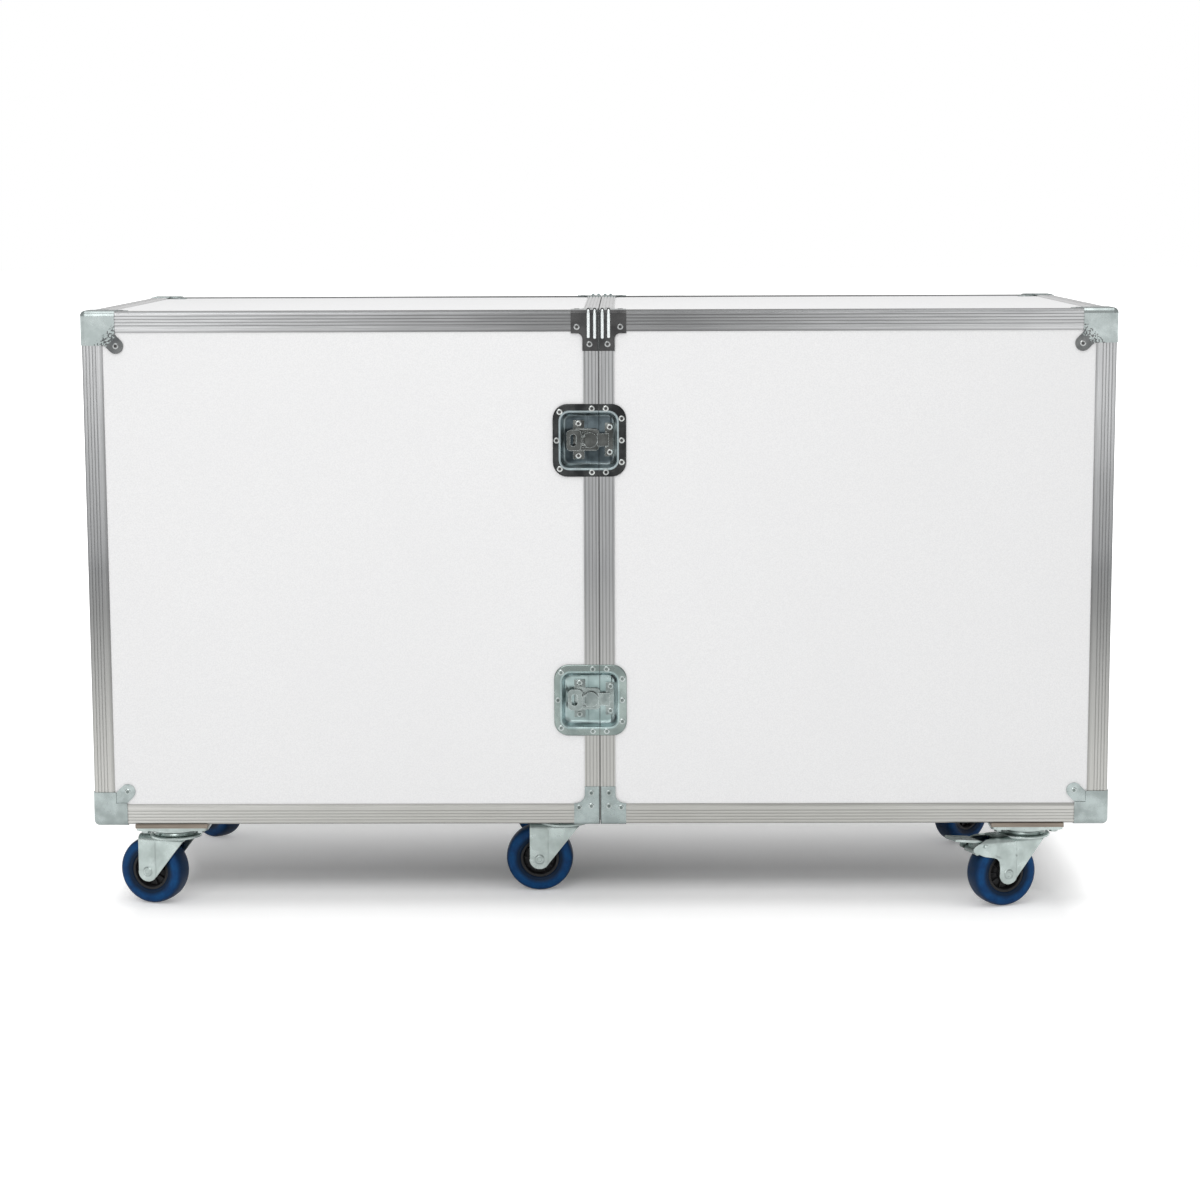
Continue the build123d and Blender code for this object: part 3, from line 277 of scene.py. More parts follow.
def drawn_aluminium(name, streaks, shade):
    """Mill-finish extrusion with the fine lines that the die leaves, painted shade in its grooves and
    along the seam, and a painted highlight on the level tops of the bars that run from front to back.
    """
    dark_line, light_line, patch_grey = (0.39, 0.395, 0.40), (0.52, 0.525, 0.53), (0.34, 0.345, 0.345)
    unlit, warm, painted_shade_grey, glare = (0.005, 0.006, 0.006), (0.54, 0.52, 0.42), (0.05,) * 3, (0.95,) * 3
    make = Finish(name, metallic=1.0)
    x, _, z = make.axes()
    lines = streaks(make)
    patch = make.noise(3.5)
    tone = make.blend(make.spread(lines), dark_line, light_line)
    tone = make.blend(make.span(patch, 0.38, 0.64, 0.0, 0.3), tone, patch_grey)
    # Painted shade where the shade mask is set
    tone = make.blend(shade(make), tone, unlit)
    tone = make.blend(make.span(z, BASE, MIDDLE_Z, 0.25, 0.0), tone, warm)
    depth = depth_in(make)
    # Painted shade in the grooves and bevels, stronger towards the top
    groove_shade = make.times(make.span(depth, 0.0001, 0.0007, 0.0, 1.0), make.span(z, BASE, TOP, 0.24, 0.46))
    tone = make.blend(groove_shade, tone, painted_shade_grey)
    # Painted highlight on the level tops of the bars that run from front to back
    level = make.times(make.above(z, TOP - OUTER_FACE), front_to_back(make))
    tone = make.blend(make.times(level, 0.75), tone, glare)
    # Painted shade in the seam between the halves
    by_the_seam = make.span(make.size_of(x), 0.0007, 0.0014, 0.75, 0.0)
    seam = make.times(by_the_seam, make.span(depth, 0.0004, 0.0012, 1.0, 0.0))
    tone = make.blend(seam, tone, painted_shade_grey)
    rough = make.span(lines, 0.3, 0.7, 0.3, 0.46)
    return make.use(tone, rough, make.bump(lines, 0.00006, 0.5))


def above_middle(make):
    """One in the upper half of the case."""
    return make.above(make.axes()[2], MIDDLE_Z)


def front_top(make):
    """One in the upper half of the front."""
    return make.times(above_middle(make), make.below(make.axes()[1], MIDDLE_Y))


def zinc_plate(name, light, dark, rough=(0.2, 0.34), where=above_middle, upper=None, mask=None, rest=None,
               edges=None):
    """Bright zinc plating with faint mottling. Where `where` holds it takes the upper tones inside the
    mask and the rest tones outside it, mostly painted shade and painted highlight. Edges says where a
    painted highlight or painted shade lies, and in what tone."""
    make = Finish(name, metallic=1.0)
    mottle = make.noise(45.0, 4.0)
    grain = make.noise(1600.0, 2.0)
    cloud = make.spread(mottle)
    tone = make.blend(cloud, dark, light)
    roughness = make.span(mottle, 0.35, 0.65, rough[1], rough[0])
    if upper is not None:
        high = make.blend(cloud, *upper)
        if mask is not None:
            high = make.blend(mask(make), make.blend(cloud, *rest), high)
        tone = make.blend(where(make), tone, high)
    if edges is not None:
        near_edge, edge_tone = edges
        tone = make.blend(near_edge(make), tone, edge_tone)
    return make.use(tone, roughness, make.bump(grain, 0.00003, 0.3))


def painted_edge_highlight(make):
    """One where a corner is near, where a painted highlight lies along the edge."""
    rounded = make.node("ShaderNodeBevel", samples=4)
    rounded.inputs["Radius"].default_value = 0.0007
    between = make.node("ShaderNodeVectorMath", operation="DOT_PRODUCT")
    make.feed(between.inputs[0], rounded.outputs[0])
    make.feed(between.inputs[1], make.node("ShaderNodeNewGeometry").outputs["Normal"])
    return make.span(between.outputs["Value"], 0.80, 0.97, 1.0, 0.0)


def ear_mask(make):
    """The riveted ears of the corner caps near the top, which are drawn dark in specks."""
    x, y, z = make.axes()
    from_end = make.minus(HALF_LENGTH, make.size_of(x))
    from_side = make.minus(HALF_DEPTH, make.away(y, MIDDLE_Y))
    from_top = make.minus(TOP, z)
    low = make.maths("MINIMUM", from_end, from_side)
    high = make.either(from_end, from_side)
    ear = make.times(make.maths("ADD", high, from_top), 0.5)
    ear = make.times(make.span(ear, 0.031, 0.043, 0.0, 1.1), make.below(low, 0.01))
    specks = make.span(make.noise(420.0, 1.0), 0.40, 0.60, 0.0, 0.95)
    return make.span(make.maths("ADD", ear, specks), 0.97, 1.1, 0.0, 1.0)


def between_ribs(make):
    """The front of a top brace, except its pressed ribs."""
    ahead = make.minus(FRONT, make.axes()[1])
    return make.times(make.above(ahead, -0.002), make.span(ahead, 0.0012, 0.0018, 1.0, 0.0))


def lid_rivets(make):
    """The rivets in the top braces and caps, which take painted shade darker than those round the upper
    latch.
    """
    return make.above(make.axes()[2], TOP - LID_HARDWARE)


def dish_wall(make):
    """One on the drawn walls of a latch dish, where a painted highlight lies, and some on the rolled rim
    of the upper one."""
    deep = make.minus(make.axes()[1], FRONT)
    wall = make.times(make.span(deep, -0.0012, 0.001, 0.0, 1.0), make.span(deep, 0.011, 0.0145, 1.0, 0.0))
    rim = make.span(deep, -0.0010, -0.0006, 0.30, 0.0)
    return make.either(wall, make.times(rim, above_middle(make)))


def seam_edge(make):
    """Nearly one along the edge of a brace next to the seam, where painted shade darkens the gap."""
    return make.span(make.size_of(make.axes()[0]), 0.0013, 0.0021, 0.85, 0.0)


def bail_finish():
    """Zinc-plated rod with a black rubber grip on its lower bar."""
    make = Finish("handle_bail_finish")
    _, y, z = make.axes()
    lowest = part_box("left_handle_bail")[0].z
    along_grip = make.below(make.away(y, MIDDLE_Y), GRIP_HALF_LENGTH)
    grip = make.times(along_grip, make.below(z, lowest + GRIP_TOP))
    wear = make.noise(90.0, 4.0)
    cloud = make.spread(wear)
    metal = make.blend(cloud, (0.44, 0.47, 0.48), (0.56, 0.59, 0.60))
    rubber = make.blend(cloud, (0.012, 0.012, 0.013), (0.03, 0.03, 0.032))
    make.feed(make.surface.inputs["Metallic"], make.minus(1.0, grip))
    rough = make.maths("ADD", make.span(wear, 0.3, 0.7, 0.22, 0.34), make.times(grip, 0.3))
    grain = make.bump(make.noise(1500.0, 2.0), 0.00004, 0.4)
    return make.use(make.blend(grip, metal, rubber), rough, grain)


def black_plastic():
    """Moulded hub plastic with a fine grain and slight wear."""
    make = Finish("black_hub")
    make.surface.inputs["Specular IOR Level"].default_value = 0.3
    grain = make.noise(1500.0, 2.0)
    wear = make.noise(70.0, 4.0)
    tone = make.blend(make.span(wear, 0.35, 0.7, 0.0, 1.0), (0.008, 0.008, 0.009), (0.018, 0.018, 0.019))
    return make.use(tone, make.span(wear, 0.3, 0.7, 0.4, 0.6), make.bump(grain, 0.00005, 0.4))


def blue_tyre():
    """Elastic blue rubber, brightest in the middle of its side, with painted shade that darkens it
    towards hub and tread.
    """
    make = Finish("blue_tyre")
    make.surface.inputs["Specular IOR Level"].default_value = 0.15
    from_axle = make.node("ShaderNodeAttribute", attribute_name="from_axle").outputs["Fac"]
    wear = make.noise(70.0, 4.0)
    deep_blue, light_blue = (0.002, 0.036, 0.122), (0.004, 0.062, 0.190)
    near_black = (0.002, 0.009, 0.022)
    bright = make.blend(make.span(wear, 0.35, 0.7, 0.0, 1.0), deep_blue, light_blue)
    # Painted shade towards the hub and the tread
    inner = make.span(from_axle, 33.0, 39.0, 0.88, 0.0)
    outer = make.span(from_axle, 45.0, 49.5, 0.0, 0.7)
    tone = make.blend(make.either(inner, outer), bright, near_black)
    rough = make.span(wear, 0.3, 0.7, 0.4, 0.55)
    return make.use(tone, rough, make.bump(make.noise(1500.0, 2.0), 0.00005, 0.4))


def brown_ply():
    """Brown sealed plywood: grain on the faces and plies on the edges."""
    make = Finish("brown_plywood", roughness=0.6)
    grain = make.noise(220.0, 4.0, (0.08, 1, 1))
    plies = make.maths("SINE", make.times(make.axes()[2], 2 * pi / PLY))
    tone = make.blend(make.spread(grain), (0.21, 0.175, 0.140), (0.32, 0.27, 0.22))
    tone = make.blend(make.span(plies, 0.0, 1.0, 0.0, 0.4), tone, (0.06, 0.045, 0.035))
    return make.use(tone, None, make.bump(grain, 0.0001, 0.5))


def open_foam():
    """Dark open-cell foam."""
    make = Finish("grey_foam", roughness=0.95)
    cells = make.node("ShaderNodeTexVoronoi")
    make.feed(cells.inputs["Vector"], make.place)
    cells.inputs["Scale"].default_value = 520.0
    size = cells.outputs["Distance"]
    tone = make.blend(make.span(size, 0.1, 0.7, 0.0, 1.0), (0.02, 0.02, 0.022), (0.075, 0.075, 0.08))
    return make.use(tone, None, make.bump(size, 0.0006, 0.8))


LAMINATE = laminate()
EDGING = drawn_aluminium("drawn_edging", along_bars, edging_shade)
CLOSING = drawn_aluminium("drawn_closing", rim_streaks, closing_shade)
# Painted light: the caps in the upper half take lighter tones than the same caps below
CAP_ZINC = zinc_plate("cap_zinc", (0.33, 0.375, 0.37), (0.25, 0.285, 0.28),
                      upper=((0.08, 0.085, 0.087), (0.15, 0.155, 0.155)), mask=ear_mask,
                      rest=((0.31, 0.35, 0.345), (0.41, 0.455, 0.45)))
# Painted shade on the upper front of the braces, a painted highlight on their pressed ribs and painted
# shade along the seam
BRACE_ZINC = zinc_plate("brace_zinc", (0.32, 0.37, 0.365), (0.25, 0.29, 0.285), where=front_top,
                        upper=((0.040, 0.040, 0.041), (0.075, 0.075, 0.075)), mask=between_ribs,
                        rest=((0.60, 0.63, 0.63), (0.76, 0.79, 0.79)),
                        edges=(seam_edge, (0.04, 0.045, 0.045)))
# Painted shade: the latch in the upper half is darker than the same latch below
LATCH_ZINC = zinc_plate("latch_zinc", (0.25, 0.295, 0.28), (0.18, 0.22, 0.21),
                        upper=((0.019, 0.020, 0.021), (0.041, 0.043, 0.043)))
# Painted shade in the upper dish, and a painted highlight on the drawn walls and the upper rim
DISH_ZINC = zinc_plate("dish_zinc", (0.32, 0.40, 0.395), (0.23, 0.30, 0.295), rough=(0.26, 0.38),
                       upper=((0.022, 0.030, 0.034), (0.075, 0.095, 0.105)),
                       edges=(dish_wall, (0.74, 0.86, 0.88)))
# Painted shade in the upper half, and a painted highlight along the edges
WORKS_ZINC = zinc_plate("works_zinc", (0.28, 0.32, 0.31), (0.17, 0.20, 0.195),
                        upper=((0.04, 0.043, 0.041), (0.09, 0.095, 0.092)),
                        edges=(painted_edge_highlight, (0.72, 0.78, 0.77)))
FORK_ZINC = zinc_plate("fork_zinc", (0.43, 0.49, 0.475), (0.34, 0.39, 0.375), rough=(0.24, 0.38))
# Painted light and shade: the rivets in the upper half take other tones than the same rivets below
RIVET_ZINC = zinc_plate("rivet_zinc", (0.40, 0.44, 0.435), (0.30, 0.34, 0.33),
                        upper=((0.26, 0.27, 0.27), (0.38, 0.39, 0.39)), mask=lid_rivets,
                        rest=((0.34, 0.355, 0.35), (0.50, 0.52, 0.51)))
BAIL = bail_finish()
BLUE_TYRE = blue_tyre()
BLACK_HUB = black_plastic()
PLYWOOD = brown_ply()
FOAM = open_foam()
# Painted shade: dark discs for the shade in the rivet holes, darker still in the upper half
RIVET_HOLE_SHADE = zinc_plate("rivet_eye", (0.16, 0.19, 0.18), (0.10, 0.12, 0.115),
                       upper=((0.03, 0.03, 0.03), (0.07, 0.07, 0.07)))

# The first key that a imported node's name holds gives its finish.
FINISHES = (("_panel", LAMINATE), ("edge_extrusions", EDGING), ("closing_frame", CLOSING),
            ("corner_caps", CAP_ZINC), ("split_braces", BRACE_ZINC), ("latch_dishes", LATCH_ZINC),
            ("latch_keepers", LATCH_ZINC), ("latch_", WORKS_ZINC), ("rivets", RIVET_ZINC),
            ("castor_packers", PLYWOOD), ("castor_", FORK_ZINC), ("brake_pedal", FORK_ZINC),
            ("wheel_hub", BLACK_HUB), ("wheel_tyre", BLUE_TYRE), ("foam", FOAM), ("handle_bail", BAIL),
            ("handle", FORK_ZINC), ("hinge", FORK_ZINC))

for name, packed in frame["nodes"].items():
    packed.data.materials.clear()
    packed.data.materials.append(next(finish for key, finish in FINISHES if key in name))


# Shared ways of making a piece

def new_piece(name, mesh, body, materials, replaces=(), sharp=35.0):
    """A finished mesh, drawn in millimetres, as a named piece that rides on a body."""
    bmesh.ops.scale(mesh, vec=(0.001, 0.001, 0.001), verts=mesh.verts)
    for face in mesh.faces:
        face.smooth = True
    for edge in mesh.edges:
        edge.smooth = len(edge.link_faces) == 2 and edge.calc_face_angle(0.0) < radians(sharp)
    data = bpy.data.meshes.new(name)
    mesh.to_mesh(data)
    mesh.free()
    for material in materials:
        data.materials.append(material)
    piece = bpy.data.objects.new(name, data)
    bpy.context.scene.collection.objects.link(piece)
    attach(piece, body)
    if replaces:
        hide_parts(*replaces)
    return piece


def join(*parts):
    """Several meshes as one, each with the transform given beside it."""
    whole = bmesh.new()
    for part, place in parts:
        holder = bpy.data.meshes.new("joining")
        part.to_mesh(holder)
        part.free()
        holder.transform(place)
        whole.from_mesh(holder)
        bpy.data.meshes.remove(holder)
    return whole


def spun(profile, axis, steps=72):
    """A closed ring turned round an axis from an outline in radius and distance along the axis."""
    mesh = bmesh.new()
    if axis == "Y":
        points, direction = [(radius, along, 0) for radius, along in profile], (0, 1, 0)
    else:
        points, direction = [(radius, 0, along) for radius, along in profile], (0, 0, 1)
    corners = [mesh.verts.new(point) for point in points]
    edges = [mesh.edges.new(pair) for pair in zip(corners, corners[1:] + corners[:1])]
    bmesh.ops.spin(mesh, geom=corners + edges, cent=(0, 0, 0), axis=direction, angle=2 * pi, steps=steps,
                   use_merge=True, use_duplicate=False)
    bmesh.ops.remove_doubles(mesh, verts=mesh.verts, dist=1e-4)
    bmesh.ops.recalc_face_normals(mesh, faces=mesh.faces)
    return mesh


def both_ways(half):
    """An outline drawn for one side of a wheel, carried on over the middle to the other side."""
    return half + [(radius, -along) for radius, along in reversed(half) if along != 0]


def thicken(mesh, thickness):
    """Gives an open sheet a wall."""
    bmesh.ops.recalc_face_normals(mesh, faces=mesh.faces)
    bmesh.ops.solidify(mesh, geom=mesh.faces[:], thickness=thickness)
    bmesh.ops.recalc_face_normals(mesh, faces=mesh.faces)


def soften(mesh, offset):
    """Rounds every edge of a block a little."""
    bmesh.ops.bevel(mesh, geom=mesh.edges[:], offset=offset, segments=2, profile=0.5, affect="EDGES",
                    material=-1)


def cut(mesh, at, normal, clear_inner=False):
    """Cuts a mesh along a plane, and clears what lies behind it if asked."""
    bmesh.ops.bisect_plane(mesh, geom=mesh.verts[:] + mesh.edges[:] + mesh.faces[:], dist=1e-4,
                           plane_co=at, plane_no=normal, clear_inner=clear_inner)


def step(value, low, high):
    """A smooth step from 0 to 1 between two values."""
    part = min(max((value - low) / (high - low), 0.0), 1.0)
    return part * part * (3 - 2 * part)


def follow(points, at):
    """The value of a broken line at one place along it."""
    for (start, first), (end, last) in zip(points, points[1:]):
        if at <= end:
            return first + (last - first) * (at - start) / (end - start)
    return points[-1][1]


# Castors, in millimetres, drawn with the swivel axis at the origin and the wheel trailing towards +X

TRAIL = 36.0
AXLE_HEIGHT = 50.0
LEG_MIDDLE = 22.25
SHOULDER = 9.0
CROWN_MIDDLE = 105.5
FOOT = 15.0
FOOT_LOW = AXLE_HEIGHT - FOOT + 0.25
FOOT_FRONT = AXLE_HEIGHT - 9.5
FORK_SHEET = 2.5
TOE = -26.0
FORK_BACK = 50.5
TAIL_START = 56.0
CREASE, CREASE_WIDTH, CREASE_STEP = 22.4, 1.4, 1.6
# Height and reach of the edges of a leg
LEG_FRONT = [(FOOT_FRONT, TRAIL - 11.6), (104.0, TOE), (110.0, TOE)]
BRAKE_TAIL = [(50.0, 50.5), (62.0, 50.5), (70.0, 51.5), (75.0, 56.0), (79.0, 76.0), (87.0, 93.0),
              (91.0, 93.5), (95.5, 90.0), (103.5, 72.0), (106.0, 52.0), (110.0, 50.5)]
# Radius and distance along the axis of the turned parts
CROWN = [(6.5, 107.2), (6.5, 112.0), (29.3, 112.0), (30.6, 111.2), (31.2, 108.6), (32.4, 107.4),
         (36.2, 107.0), (38.0, 105.9), (38.6, 104.0), (38.2, 102.7), (37.2, 102.4), (36.4, 103.4),
         (35.0, 104.1), (30.0, 104.3), (6.5, 104.3)]
AXLE_HEAD = [(0.01, 23.0), (7.5, 23.0), (7.6, 23.9), (6.6, 24.9), (5.0, 25.4), (3.6, 25.2), (3.0, 24.6),
             (0.01, 24.5)]
AXLE_SLEEVE = [(4.0, -21.0), (6.0, -21.0), (6.0, 21.0), (4.0, 21.0)]
BRAKE_PIN = [(0.01, -24.9), (2.2, -24.9), (3.0, -24.2), (3.0, 24.2), (2.2, 24.9), (0.01, 24.9)]
BRAKE_PIN_PLACE = (74.0, 0, 94.0)
TYRE_SIDE = [(28.6, 15.2), (30.2, 16.6), (32.6, 17.2), (33.2, 17.0), (33.8, 17.5), (38.0, 18.0),
             (42.5, 17.8), (45.8, 16.8), (48.1, 14.4), (49.3, 11.0), (49.85, 6.0), (50.0, 0.0)]
BORE = 6.2
HUB_SIDE = [(BORE, 20.4), (9.6, 20.4), (10.6, 19.4), (11.4, 9.0), (12.6, 7.2), (14.5, 6.4), (20.5, 5.6),
            (22.6, 6.6), (23.6, 9.0), (24.4, 13.6), (25.2, 14.8), (28.7, 15.1)]
RIB_COUNT, RIB_SIZE, RIB_PLACE = 10, (12.5, 19.0, 2.0), (17.2, 0, 0)
JOINTS = {joint["name"]: joint for joint in frame["joints"]}


def castor_place(name):
    """The turn and place of one castor under the case."""
    swivel = JOINTS[f"{name}_swivel"]["pos_m"]
    axis = JOINTS[f"{name}_wheel_spin"]["axis"]
    turn = Matrix.Rotation(atan2(-axis[0], axis[1]), 4, "Z")
    return Matrix.Translation((swivel[0] * MM, swivel[1] * MM, 0)) @ turn


def leg_reach(height, braked):
    """How far a fork leg reaches fore and aft at one height."""
    below = max(AXLE_HEIGHT - height, 0.0)
    round_foot = (FOOT ** 2 - min(below, FOOT) ** 2) ** 0.5
    fore = TRAIL - round_foot if height < FOOT_FRONT else follow(LEG_FRONT, height)
    if height < AXLE_HEIGHT:
        return fore, TRAIL + round_foot
    return fore, follow(BRAKE_TAIL, height) if braked else FORK_BACK


def fork_point(along, across, braked):
    """A point of the bent fork sheet: up one leg, over the crown and down the other."""
    leg = CROWN_MIDDLE - SHOULDER - FOOT_LOW
    arc = SHOULDER * pi / 2
    flat = 2 * (LEG_MIDDLE - SHOULDER)
    whole = 2 * leg + 2 * arc + flat
    distance = along * whole
    mirrored = distance > leg + arc + flat / 2
    if mirrored:
        distance = whole - distance
    if distance < leg:
        y, z = LEG_MIDDLE, FOOT_LOW + distance
    elif distance < leg + arc:
        turn = (distance - leg) / SHOULDER
        y = LEG_MIDDLE - SHOULDER + SHOULDER * cos(turn)
        z = CROWN_MIDDLE - SHOULDER + SHOULDER * sin(turn)
    else:
        y, z = LEG_MIDDLE - SHOULDER - (distance - leg - arc), CROWN_MIDDLE
    fore, aft = leg_reach(z, braked)
    x = fore + (aft - fore) * across
    y += CREASE_STEP * step(x, CREASE, CREASE + CREASE_WIDTH) * (1 - step(x, FORK_BACK, TAIL_START))
    return (x, -y if mirrored else y, z)


def fork_mesh(braked):
    """The bent fork with its round crown, riveted axle ends and brake pin."""
    sheet = bmesh.new()
    bmesh.ops.create_grid(sheet, x_segments=110, y_segments=60, size=0.5)
    for vert in sheet.verts:
        vert.co = fork_point(vert.co.x + 0.5, vert.co.y + 0.5, braked)
    thicken(sheet, FORK_SHEET)
    axle = Matrix.Translation((TRAIL, 0, AXLE_HEIGHT))
    parts = [(sheet, Matrix()), (spun(CROWN, "Z"), Matrix())]
    for side in (-1, 1):
        parts.append((spun(AXLE_HEAD, "Y", 32), axle @ Matrix.Scale(side, 4, (0, 1, 0))))
    parts.append((spun(AXLE_SLEEVE, "Y", 32), axle))
    if braked:
        parts.append((spun(BRAKE_PIN, "Y", 24), Matrix.Translation(BRAKE_PIN_PLACE)))
    whole = join(*parts)
    bmesh.ops.recalc_face_normals(whole, faces=whole.faces)
    return whole


def wheel_pieces(name, place):
    """The tyre and the hub of one castor."""
    axle = place @ Matrix.Translation((TRAIL, 0, AXLE_HEIGHT))
    tyre = spun(both_ways(TYRE_SIDE), "Y", 120)
    from_axle = tyre.verts.layers.float.new("from_axle")
    for vert in tyre.verts:
        vert[from_axle] = hypot(vert.co.x, vert.co.z)
    new_piece(f"{name}_tyre", join((tyre, axle)), f"{name}_wheel", [BLUE_TYRE],
              [f"{name}_wheel_tyre"], 60.0)
    hub = spun([(BORE, 0.0)] + both_ways(HUB_SIDE), "Y", 96)
    parts = [(hub, axle)]
    for index in range(RIB_COUNT):
        rib = bmesh.new()
        bmesh.ops.create_cube(rib, size=1.0)
        bmesh.ops.scale(rib, vec=RIB_SIZE, verts=rib.verts)
        soften(rib, 0.6)
        turn = Matrix.Rotation(2 * pi * index / RIB_COUNT, 4, "Y")
        parts.append((rib, axle @ turn @ Matrix.Translation(RIB_PLACE)))
    new_piece(f"{name}_hub", join(*parts), f"{name}_wheel", [BLACK_HUB],
              [f"{name}_wheel_hub"])


for joint_name in JOINTS:
    if joint_name.endswith("_swivel"):
        castor = joint_name.removesuffix("_swivel")
        ground = castor_place(castor)
        new_piece(f"{castor}_fork", join((fork_mesh(f"{castor}_brake_press" in JOINTS), ground)),
                  f"{castor}_castor", [FORK_ZINC], [f"{castor}_castor_fork"])
        wheel_pieces(castor, ground)


# Latches, in millimetres, drawn with the outer face at Y 0, the seam at X 0 and the latch centre at Z 0

HALF_SEAM = 0.4
PRESSING_WALL = 0.0012
# Each ring: left end, right end, half height, corner radius and depth
FLANGE_RINGS = [(-66.0, 39.0, 52.0, 21.0, 1.7), (-66.0, 39.0, 52.0, 21.0, -0.5),
                (-65.3, 38.3, 51.3, 20.4, -1.1), (-64.4, 37.4, 50.4, 19.6, -1.3),
                (-57.4, 28.6, 42.6, 15.0, -1.3)]
DISH_RINGS = [(-57.4, 28.6, 42.6, 15.0, -1.3), (-56.2, 27.2, 41.2, 14.0, -1.7),
              (-55.0, 26.0, 40.0, 13.0, -1.3), (-54.2, 25.2, 39.2, 12.4, 0.2),
              (-53.2, 24.2, 38.2, 11.6, 5.0), (-52.2, 23.2, 37.2, 11.0, 9.4),
              (-50.9, 21.9, 35.9, 10.2, 12.5), (-48.6, 19.6, 33.6, 8.4, 14.3),
              (-45.6, 16.6, 30.6, 6.2, 14.9)]
# Each slab: from and to along X, Y and Z
BASE_SLABS = ((-37, -21, 12.9, 15, -28, 28), (-33, -3, 12.7, 14.8, -16, 16))
KEEPER_SLABS = ((8.5, 21, 12.9, 15, -24, 24), (9.5, 11.5, 9.2, 13.4, -11, 11))
LATCH_HEIGHTS = {level: JOINTS[f"{level}_latch_turn"]["pos_m"][2] * MM for level in ("upper", "lower")}


def ring_points(x0, x1, half, radius, depth, steps=8):
    """Points round a rectangle with round corners."""
    corners = ((x1 - radius, half - radius, 0), (x0 + radius, half - radius, 90),
               (x0 + radius, radius - half, 180), (x1 - radius, radius - half, 270))
    points = []
    for x, z, start in corners:
        for index in range(steps + 1):
            angle = radians(start + 90 * index / steps)
            points.append((x + radius * cos(angle), depth, z + radius * sin(angle)))
    return points


def latch_sheet(rings, keep, closed):
    """A pressed sheet drawn in through a row of rings, cut at the seam, on one side of it."""
    mesh = bmesh.new()
    verts = [mesh.verts.new(point) for point in ring_points(*rings[0])]
    loop = [mesh.edges.new(pair) for pair in zip(verts, verts[1:] + verts[:1])]
    order = {vert: index for index, vert in enumerate(verts)}
    for ring in rings[1:]:
        points = ring_points(*ring)
        made = bmesh.ops.extrude_edge_only(mesh, edges=loop)["geom"]
        fresh = {item for item in made if isinstance(item, bmesh.types.BMVert)}
        for vert in fresh:
            others = (edge.other_vert(vert) for edge in vert.link_edges)
            order[vert] = order[next(other for other in others if other not in fresh)]
            vert.co = points[order[vert]]
        edges = (item for item in made if isinstance(item, bmesh.types.BMEdge))
        loop = [edge for edge in edges if fresh.issuperset(edge.verts)]
    if closed:
        bmesh.ops.edgeloop_fill(mesh, edges=loop)
    cut(mesh, (keep * HALF_SEAM, 0, 0), (keep, 0, 0), clear_inner=True)
    for face in mesh.faces:
        face.normal_update()
    bmesh.ops.recalc_face_normals(mesh, faces=mesh.faces)
    if sum(face.normal.y * face.calc_area() for face in mesh.faces) > 0:
        bmesh.ops.reverse_faces(mesh, faces=mesh.faces)
    return mesh


def latch_pressing(name, height, keep, body, replaces):
    """The flange and dish on one side of the seam."""
    flange, dish = latch_sheet(FLANGE_RINGS, keep, False), latch_sheet(DISH_RINGS, keep, True)
    for face in dish.faces:
        face.material_index = 1
    place = Matrix.Translation((0, FRONT * MM, height))
    whole = join((flange, place), (dish, place))
    bmesh.ops.remove_doubles(whole, verts=whole.verts, dist=1e-3)
    piece = new_piece(name, whole, body, [LATCH_ZINC, DISH_ZINC], replaces, 50.0)
    wall = piece.modifiers.new("wall", "SOLIDIFY")
    wall.thickness = PRESSING_WALL
    wall.offset = -1.0
    wall.material_offset = 0


def slab(x0, x1, y0, y1, z0, z1):
    """A block with softened edges."""
    mesh = bmesh.new()
    bmesh.ops.create_cube(mesh, size=1.0)
    bmesh.ops.scale(mesh, vec=(x1 - x0, y1 - y0, z1 - z0), verts=mesh.verts)
    bmesh.ops.translate(mesh, vec=((x0 + x1) / 2, (y0 + y1) / 2, (z0 + z1) / 2), verts=mesh.verts)
    soften(mesh, 0.4)
    return mesh


def latch_plate(name, height, slabs, body):
    """The plate that carries the works, or the catch on the other side of the seam."""
    place = Matrix.Translation((0, FRONT * MM, height))
    new_piece(name, join(*((slab(*ends), place) for ends in slabs)), body, [WORKS_ZINC])


for level, height in LATCH_HEIGHTS.items():
    latch_pressing(f"{level}_latch_dish", height, -1, "left_half", ["latch_dishes"])
    latch_pressing(f"{level}_latch_keeper_dish", height, 1, "right_half", ["latch_keepers"])
    latch_plate(f"{level}_latch_base", height, BASE_SLABS, "left_half")
    latch_plate(f"{level}_latch_keeper", height, KEEPER_SLABS, "right_half")


# Painted shade in the rivet holes, and foam, in millimetres

EYE_RADIUS, EYE_THICKNESS, EYE_LIFT = 2.3, 0.12, 0.3
RIVET_HEAD = 1.0
FOAM_BACK, FOAM_THICK, FOAM_END, FOAM_NEAR, FOAM_GAP = 11.4, 20.0, 26.5, 16.5, 0.2
LATCH_HOLLOW = (-56.2, 27.2, 40.6)
HANDLE_HEIGHT = (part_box("left_handle_dish")[0].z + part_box("left_handle_dish")[1].z) * MM / 2
HANDLE_HOLLOW = (73.6, 50.6)
HOLLOW_DEPTH, HOLLOW_LIP = 5.3, 0.3


def axis_vector(axis):
    """The unit vector of an axis by its number."""
    return Vector(float(index == axis) for index in range(3))


def islands(node):
    """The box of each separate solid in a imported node."""
    mesh = bmesh.new()
    mesh.from_mesh(frame["nodes"][node].data)
    bmesh.ops.remove_doubles(mesh, verts=mesh.verts, dist=1e-6)
    left = set(mesh.verts)
    while left:
        queue = [left.pop()]
        found = []
        while queue:
            vert = queue.pop()
            found.append(vert.co * MM)
            for edge in vert.link_edges:
                other = edge.other_vert(vert)
                if other in left:
                    left.discard(other)
                    queue.append(other)
        yield (Vector(min(point[axis] for point in found) for axis in range(3)),
               Vector(max(point[axis] for point in found) for axis in range(3)))
    mesh.free()


